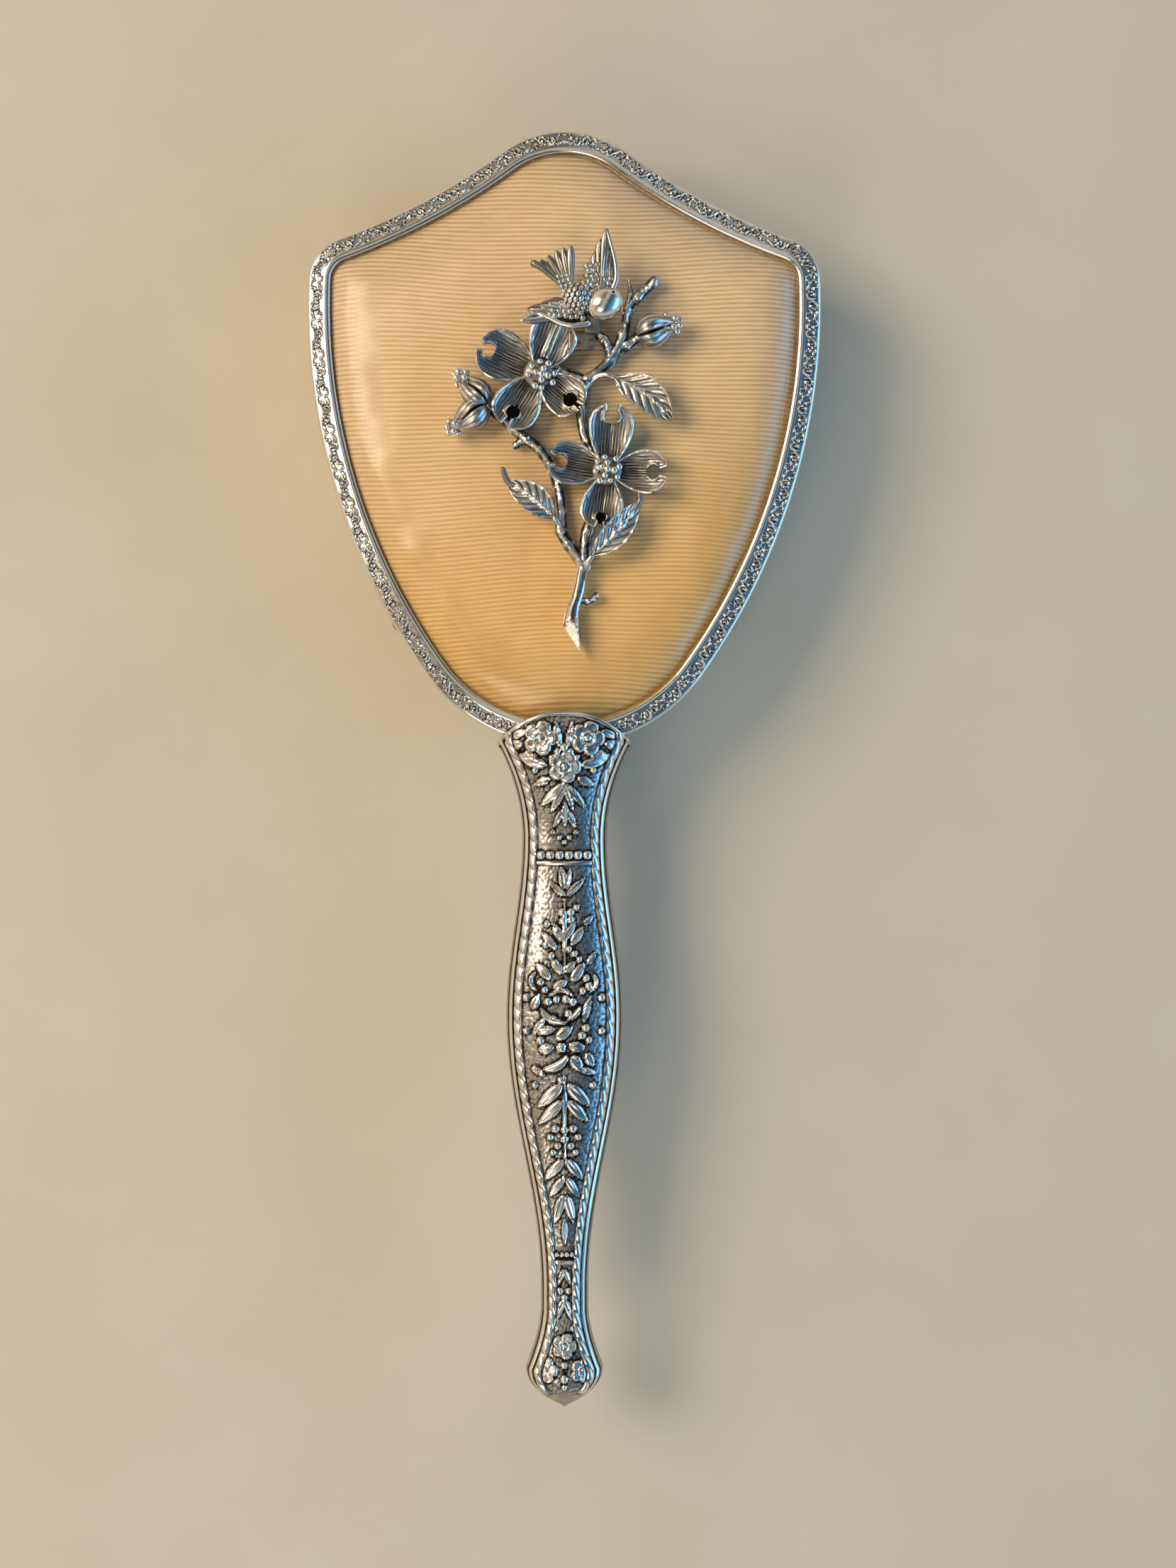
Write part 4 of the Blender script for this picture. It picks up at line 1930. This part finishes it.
@dataclass
class Foliage:
    """Leaves and opening buds of the spray."""

    leaf_z: float = 33.3
    stalk_radius: float = 0.62
    bead_radius: float = 0.72

    def leaf(
        self, name: str, stalk: Route, tip: Spot, width: float, sweep: float, twist: float, end: Route = ()
    ) -> Piece:
        """Builds one veined leaf on its arching stalk.

        Args:
            name: Name of the piece.
            stalk: Route of its stalk from the twig to the blade.
            tip: Where the blade ends.
            width: Greatest width.
            sweep: How far its middle swings aside.
            twist: How far one edge stands over the other.
            end: Route of a curling point beyond the tip, if it has one.

        Returns:
            The leaf.
        """
        z = self.leaf_z
        blade = Blade(stalk[-1], tip, width, z + 0.1, z + 0.3, sweep=sweep, twist=twist, **LEAF_FORM)
        lift = np.sin(np.linspace(0, math.pi / 2, len(stalk)))
        route = [(x, y, STEM_Z + (z - STEM_Z + 0.1) * up) for (x, y), up in zip(stalk, lift)]
        ends = (1.15 * self.stalk_radius, 0.8 * self.stalk_radius)
        parts = [blade.build(name), rod("stalk", route, ends, 10 * len(route), 14, 0.6)]
        if end:
            route = [(x, y, z + 0.35 + 0.15 * i) for i, (x, y) in enumerate(end)]
            parts.append(rod("finger", route, (0.62, 0.5), 8 * len(route), 14, 0.36))
        return join(parts, name)

    def bud(self, name: str, foot: Spot, tip: Spot, width: float, beads: int, seed: int) -> Piece:
        """Builds one opening bud: pointed sepals round a cluster of beads.

        Args:
            name: Name of the piece.
            foot: Where it leaves the twig.
            tip: Where its beads end.
            width: Greatest width.
            beads: How many beads show.
            seed: Start of small irregularities.

        Returns:
            The bud.
        """
        rng = np.random.default_rng(seed)
        length, ahead, aside = heading(foot, tip)
        base = (*foot, STEM_Z + width / 2 - 0.9)
        u = np.linspace(0, 1, 45)[:, None]
        turn = np.linspace(0, TAU, 73)[None]
        belly = np.sin(np.pi * u**0.8) ** 0.85
        wave = np.abs(np.sin(1.5 * turn + 0.5))
        overlap = np.clip(1 - wave / 0.3, 0, 1)
        ribbing = np.cos(15 * turn + 3 * u) * np.sin(np.pi * u) ** 0.5
        radius = width / 2 * (0.2 * (1 - u) + 0.82 * belly + 0.12)
        radius = radius * (1 + 0.1 * wave**0.5 - 0.14 * overlap + 0.025 * ribbing)
        reach = length * (0.62 + 0.2 * wave**1.5) * u
        skin = lay_out(base, (reach, ahead), (radius * np.cos(turn), aside), (radius * np.sin(turn), UP))
        ends = [np.broadcast_to(skin[i].mean(axis=0), skin[:1].shape) for i in (0, -1)]
        skin = np.concatenate([ends[0], skin, ends[1]])
        shine = np.where(u > 0.93, 1.0, np.clip(0.5 - 0.5 * overlap + 0.22 * ribbing, 0.05, 1))
        shine = np.concatenate([shine[:1], shine, 0 * shine[-1:]])
        spots = []
        for index in range(beads):
            share = math.sqrt((index + 0.3) / beads)
            swing = index * GOLDEN_ANGLE + rng.uniform(-0.2, 0.2)
            along = length * (1.0 - 0.26 * share**2) - 0.55
            off = 0.36 * width * share
            spot = lay_out(base, (along, ahead), (off * math.cos(swing), aside), (off * math.sin(swing), UP))
            spots.append((*spot, rng.uniform(0.85, 1.1)))
        cluster = copies(bead("bud_bead", self.bead_radius, 0.7), spots, "bud_beads")
        return join([lay_grid(name, skin, shine), cluster], name)

    def build(self) -> dict[str, Piece]:
        """Builds every leaf and bud.

        Returns:
            The pieces by the node that each stands for.
        """
        right_stalk = ((4.6, 71.8), (6.2, 72.9), (7.9, 73.1), (9.3, 72.5))
        left_stalk = ((-0.6, 45.6), (-1.1, 46.0), (-1.7, 46.6))
        lower_stalk = ((3.6, 37.2), (4.3, 38.4), (5.1, 39.5))
        left_end = ((-9.6, 52.6), (-10.5, 53.6), (-10.9, 54.6), (-11.2, 55.5))
        lower_end = ((13.2, 48.6), (14.0, 49.8), (13.9, 50.8))
        return {
            "leaf_right": self.leaf("leaf_right_cast", right_stalk, (19.9, 64.6), 6.2, 1.1, 0.5),
            "leaf_left": self.leaf("leaf_left_cast", left_stalk, (-10.3, 53.2), 5.3, -0.5, -0.3, left_end),
            "leaf_lower": self.leaf("leaf_lower_cast", lower_stalk, (13.8, 49.4), 4.9, -0.6, 0.5, lower_end),
            "bud_right": self.bud("bud_right_cast", (13.4, 80.2), (22.0, 82.9), 5.7, 9, 21),
            "bud_left_upper": self.bud("bud_left_upper_cast", (-14.2, 67.6), (-20.4, 73.9), 4.9, 7, 22),
            "bud_left_lower": self.bud("bud_left_lower_cast", (-14.2, 67.3), (-22.0, 62.4), 5.0, 8, 23),
        }


@dataclass
class Bird:
    """Small bird in flight: pebbled body, polished head, fanned tail and two feathered wings."""

    rump: Spot = (-0.4, 87.9)
    neck: Spot = (6.4, 84.9)
    body_radius: float = 2.5
    head: Spot = (7.5, 85.5)
    head_axes: tuple[float, float, float] = (3.5, 2.95, 2.65)
    head_turn: float = 24.0
    covert_sink: float = 0.42
    beak_tip: Spot = (11.3, 86.2)
    tail_root: Spot = (0.9, 87.6)
    upper_root: Spot = (6.9, 87.4)
    lower_root: Spot = (3.0, 84.2)
    tail_tips: Route = ((-4.2, 93.4), (-2.9, 94.2), (-1.4, 95.1), (-0.1, 95.6), (1.3, 95.9))
    upper_tips: Route = ((7.75, 98.9), (6.6, 97.0), (5.6, 94.6), (4.9, 93.0), (4.2, 91.5), (3.7, 89.8))
    lower_tips: Route = ((-7.7, 82.6), (-6.7, 84.5), (-4.4, 85.3), (-2.8, 85.8), (-0.9, 86.0))

    def pebbles(self, along: Array, around: Array) -> Array:
        """Small rounded feathers, staggered like scales, over rows along and feathers around."""
        row = np.floor(along)
        return dome_of(np.hypot(along - row - 0.5, (around + 0.5 * (row % 2)) % 1.0 - 0.5), 0.56)

    def body(self) -> Piece:
        """Builds the body with its head and beak as one casting.

        Returns:
            The body.
        """
        length, ahead, aside = heading(self.rump, self.neck)
        u = np.linspace(0, 1, 81)[:, None]
        turn = np.linspace(0, TAU, 113)[None]
        scale = self.pebbles(u * 8, turn / TAU * 13)
        radius = self.body_radius * (np.sin(np.pi * u**0.85) ** 0.75 + 0.02)
        radius = radius + 0.34 * scale * np.sin(np.pi * u) ** 0.5
        wide, high = radius * np.cos(turn), 0.9 * radius * np.sin(turn)
        skin = lay_out((*self.rump, BIRD_Z - 0.25), (length * u, ahead), (wide, aside), (high, UP))
        trunk = lay_grid("trunk", skin, np.clip(0.05 + 0.85 * scale**1.5, 0, 1))
        x, y = self.head
        spot = metres(x, y, BIRD_Z - 0.05)
        skull = add("uv_sphere", "skull", segments=48, ring_count=24, radius=MM, location=spot)
        skull.scale = self.head_axes
        skull.rotation_euler = (0.0, 0.0, math.radians(self.head_turn))
        set_relief(skull, 1.0)
        smooth(skull, BEAD_CREASE)
        z = BIRD_Z - 0.4
        route = [(x + 2.3, y + 0.3, z), (x + 3.1, y + 0.5, z), (*self.beak_tip, BIRD_Z - 0.9)]
        parts = [trunk, skull, rod("beak", route, (0.9, 0.12), 12, 14, 0.5)]
        for side in (1, -1):
            eye = bead("eye", 0.36, 0.0, 12)
            eye.location = metres(x + 1.5, y + 0.5 + side * 1.05, BIRD_Z + 1.75)
            parts.append(eye)
        return join(parts, "bird_body_cast")

    def fan(
        self, name: str, root: Spot, tips: Route, width: float, levels: Spot, spread: Spot, blunt: float
    ) -> list[Piece]:
        """Builds overlapping feathers from a root out to their tips.

        Args:
            name: Name of the pieces.
            root: Where the first feather starts.
            tips: Where they end, the last on top.
            width: Width of a feather.
            levels: Heights of the first and the last feather.
            spread: How far the last root is from the first.
            blunt: How blunt the tips are.

        Returns:
            The feathers.
        """
        roots = np.linspace(root, np.add(root, spread), len(tips))
        feathers = []
        for start, tip, level in zip(roots, tips, np.linspace(*levels, len(tips))):
            feather = Blade(start, tip, width, level, level + 0.3, round_tip=blunt, **FEATHER_FORM)
            feathers.append(feather.build(name))
        return feathers

    def coverts(self, spots: Route) -> Piece:
        """Builds the pebbly small feathers over a wing's root.

        Args:
            spots: Where they lie.

        Returns:
            The feathers as one piece.
        """
        rng = np.random.default_rng(len(spots))
        sizes = rng.uniform(0.85, 1.15, len(spots))
        shifts = rng.normal(0, 0.08, (len(spots), 3)) - (0.0, 0.0, self.covert_sink)
        return copies(bead("covert", 0.62, 0.5, 12), np.column_stack([spots + shifts, sizes]), "coverts")

    def tail(self) -> Piece:
        """Builds the fanned tail with its pebbled root.

        Returns:
            The tail.
        """
        z = BIRD_Z
        levels, spread = (z - 0.1, z + 0.4), (0.4, 0.3)
        feathers = self.fan("tail", self.tail_root, self.tail_tips, 1.45, levels, spread, 0.45)
        route = [(-0.9, 89.4, z), (-2.6, 90.8, z + 0.2), (-4.1, 92.0, z + 0.3), (-5.4, 92.7, z + 0.2)]
        feathers.append(rod("curl", route, (0.5, 0.7), 20, 12, 0.34))
        spots = [
            (1.0 - 0.42 * j + 0.85 * i, 87.9 + 0.85 * j + 0.2 * i, z + 0.75 - 0.08 * j)
            for j in range(4)
            for i in (-1, 0, 1)
        ]
        return join(feathers + [self.coverts(spots)], "bird_tail_cast")

    def upper_wing(self) -> Piece:
        """Builds the raised wing: staggered feather tips on its left, a smooth leading edge.

        Returns:
            The wing.
        """
        z = BIRD_Z
        levels, spread = (z + 1.0, z + 0.2), (-1.9, -0.3)
        feathers = self.fan("upper_wing", self.upper_root, self.upper_tips, 1.75, levels, spread, 0.75)
        route = [(9.0, 88.0, z + 0.5), (9.6, 90.0, z + 0.8), (9.35, 93.1, z + 1.0), (7.9, 98.6, z + 1.0)]
        feathers.append(rod("edge", route, (0.6, 0.3), 30, 12, 0.55))
        for shift, level in ((0.0, z + 0.85), (0.75, z + 0.7)):
            foot, tip = (8.0 + 0.5 * shift, 87.4), (7.7 + 1.1 * shift, 97.6 - 2.6 * shift)
            feathers.append(Blade(foot, tip, 1.9, level - 0.3, level, **PRIMARY_FORM).build("primary"))
        spots = [
            (4.2 + 0.98 * i + 0.4 * (j % 2), 88.5 + 0.9 * j + 0.12 * i, z + 1.0 - 0.03 * j)
            for j in range(5)
            for i in range(5 - j // 2)
        ]
        return join(feathers + [self.coverts(spots)], "bird_wing_upper_cast")

    def lower_wing(self) -> Piece:
        """Builds the lowered wing: scalloped upper edge and a smooth lower rim.

        Returns:
            The wing.
        """
        z = BIRD_Z
        levels, spread = (z - 0.8, z - 0.2), (0.4, 1.2)
        feathers = self.fan("lower_wing", self.lower_root, self.lower_tips, 2.1, levels, spread, 0.65)
        route = [(4.4, 82.0, z - 0.9), (1.7, 81.6, z - 0.8), (-0.6, 82.0, z - 0.7)]
        route += [(-2.9, 83.1, z - 0.6), (-5.1, 83.8, z - 0.6), (-7.7, 82.4, z - 0.7)]
        feathers.append(rod("edge", route, (0.62, 0.3), 50, 12, 0.8))
        feathers.append(Blade((4.2, 83.6), (-5.0, 84.2), 3.6, z - 0.9, z - 0.9, **WEB_FORM).build("web"))
        spots = [
            (3.4 - 0.98 * i - 0.4 * (j % 2), 82.9 + 0.88 * j + 0.1 * i, z + 0.1 - 0.07 * i)
            for j in range(4)
            for i in range(7 - j)
        ]
        return join(feathers + [self.coverts(spots)], "bird_wing_lower_cast")

    def bracket(self) -> Piece:
        """Builds the bar that carries the bird, bevelled and drilled twice, with its upright.

        Returns:
            The bracket.
        """
        level = STEM_Z + 1.9
        sizes = ((5.0, 3.6, 1.3), (2.8, 4.8, 2.6))
        parts = []
        for size, spot in zip(sizes, ((3.2, 79.3, level), (5.2, 82.8, STEM_Z + 2.2))):
            bar = add("cube", "bar", size=1.0, location=metres(*spot))
            bar.scale = metres(*size)
            parts.append(join([bar], "bar"))
            modify(parts[-1], "BEVEL", width=0.45 * MM, segments=4, limit_method="NONE")
        radius, depth = metres(0.5, 6.0)
        for spot in ((2.6, 78.5, level), (5.0, 79.0, level)):
            drill = add("cylinder", "drill", vertices=20, radius=radius, depth=depth, location=metres(*spot))
            modify(parts[0], "BOOLEAN", operation="DIFFERENCE", object=drill, solver="EXACT")
            bpy.data.objects.remove(drill)
        strap = join(parts, "bird_bracket_cast")
        set_relief(strap, 0.3)
        smooth(strap)
        return strap

    def build(self) -> dict[str, Piece]:
        """Builds the whole bird.

        Returns:
            The pieces by the node that each stands for.
        """
        return {
            "bird_body": self.body(),
            "bird_tail": self.tail(),
            "bird_wing_upper": self.upper_wing(),
            "bird_wing_lower": self.lower_wing(),
            "bird_bracket": self.bracket(),
        }


# Stage


@dataclass
class Studio:
    """Pale floor, soft light and the camera that takes the photograph's view."""

    floor_half: float = 0.8
    walls: tuple[tuple[float, str], ...] = ((0.0, "#E6DCC9"), (0.5, "#D4CFC5"), (1.0, "#BFCBD4"))
    ceiling: tuple[tuple[float, str], ...] = (
        (0.0, "#F2E6CF"), (0.2, "#D8C3A0"), (0.36, "#4A3F34"), (0.44, "#A9A49A"),
        (0.5, "#D2D2CE"), (0.57, "#9AA2AA"), (0.66, "#333E4C"), (0.8, "#4F86B4"),
        (0.92, "#6FB0E6"), (1.0, "#7FB8E8"),
    )
    across: tuple[float, float, float] = (0.95, -0.31, 0.0)
    strength: float = 0.9
    lens: float = 52.0
    sensor: float = 36.0
    camera_mm: tuple[float, float, float] = (4.44, -2.33, 450.5)

    def floor(self) -> None:
        """Lays the floor that the bristle tips rest on."""
        floor = add("plane", "studio_floor", size=2 * self.floor_half)
        dress(floor, FLOOR_PAINT.material())

    def lamp(self, name: str, place_m: Sequence[float], size: Spot, watts: float, colour: str) -> None:
        """Hangs one soft light, aimed at the brush.

        Args:
            name: Name of the lamp.
            place_m: Its place in metres.
            size: Its width and height in metres.
            watts: Its power.
            colour: Its colour.
        """
        bpy.ops.object.light_add(type="AREA", location=place_m)
        lamp = bpy.context.active_object
        lamp.name = name
        lamp.data.energy = watts
        lamp.data.shape = "RECTANGLE"
        lamp.data.size, lamp.data.size_y = size
        lamp.data.color = linear(colour)[:3]
        x, y, z = place_m
        lamp.rotation_euler = (math.atan2(math.hypot(x, y), z), 0.0, math.atan2(-y, -x) - math.pi / 2)

    def light(self) -> None:
        """Lights the brush warmly from the left and a little cooler from the right."""
        self.lamp("warm_softbox", (-0.7, 0.3, 0.85), (0.55, 0.55), 6.4, "#FFF1DC")
        self.lamp("low_softbox", (-0.28, -0.6, 0.7), (0.4, 0.4), 1.6, "#FFF3E2")
        self.lamp("cool_panel", (1.05, -0.1, 0.4), (1.2, 0.6), 5.5, "#5FB0F5")
        world = bpy.data.worlds.new("studio_world")
        bpy.context.scene.world = world
        world.use_nodes = True
        tree = world.node_tree
        # Walls and ceiling change colour from the left to the right of the room
        way = node(tree, "TexCoord").outputs["Generated"]
        slant = node(tree, "VectorMath", {"operation": "DOT_PRODUCT", 1: self.across}, {0: way})
        share = node(tree, "MapRange", {"From Min": -1.0}, {"Value": slant.outputs["Value"]})
        ramps = []
        for stops in (self.walls, self.ceiling):
            ramp = node(tree, "ValToRGB", {}, {0: share})
            marks = ramp.color_ramp.elements
            marks[0].color, marks[1].color = linear(stops[0][1]), linear(stops[-1][1])
            for position, colour in stops[1:-1]:
                marks.new(position).color = linear(colour)
            ramps.append(ramp)
        height = node(tree, "SeparateXYZ", {}, {0: way}).outputs["Z"]
        rise = node(tree, "MapRange", {"From Min": 0.1, "From Max": 0.55} | SMOOTH, {"Value": height})
        sky = node(tree, "Mix", {"data_type": "RGBA"}, {0: rise, 6: ramps[0], 7: ramps[1]})
        wire(tree, tree.nodes["Background"], {"Strength": self.strength}, {"Color": sky})

    def camera(self) -> None:
        """Sets the camera straight over the brush, as the photograph was taken."""
        data = bpy.data.cameras.new("camera")
        data.lens = self.lens
        data.sensor_width = self.sensor
        data.clip_start = 0.01
        camera = bpy.data.objects.new("camera", data)
        camera.location = metres(*self.camera_mm)
        bpy.context.collection.objects.link(camera)
        bpy.context.scene.camera = camera

    def build(self) -> None:
        """Builds the whole stage."""
        self.floor()
        self.light()
        self.camera()
        bpy.context.scene.view_settings.view_transform = "Standard"


def dress_carried_over() -> None:
    """Gives each solid that stays its own finish."""
    made: dict[str, Material] = {}
    for name, stuff in CARRIED_OVER.items():
        if stuff.name not in made:
            made[stuff.name] = stuff.material()
        dress(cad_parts[name], made[stuff.name])
        LOG.info("%s keeps its solid, in %s", name, stuff.name)


def main() -> None:
    """Builds the brush piece by piece, then the stage round it."""
    logging.basicConfig(level=logging.INFO, format="%(name)s: %(message)s")
    stamped = STAMPED_SILVER.material()
    cast = CAST_SILVER.material()
    head = HeadFrame()
    head.dress(head.build(), stamped)
    window = Window()
    window.dress(window.build())
    fabric = FabricPanel()
    fabric.dress(fabric.build())
    tufts = Tufts()
    tufts.dress(tufts.build())
    handle = Handle()
    handle.dress(handle.build(), stamped)
    spray = {"spray_stem": Stem().build()}
    for cluster in (UPPER_BLOSSOM, LOWER_BLOSSOM, Foliage(), Bird()):
        spray |= cluster.build()
    for name, piece in spray.items():
        place(piece, cast, "white_metal", name)
    dress_carried_over()
    Studio().build()


if __name__ == "__main__":
    main()
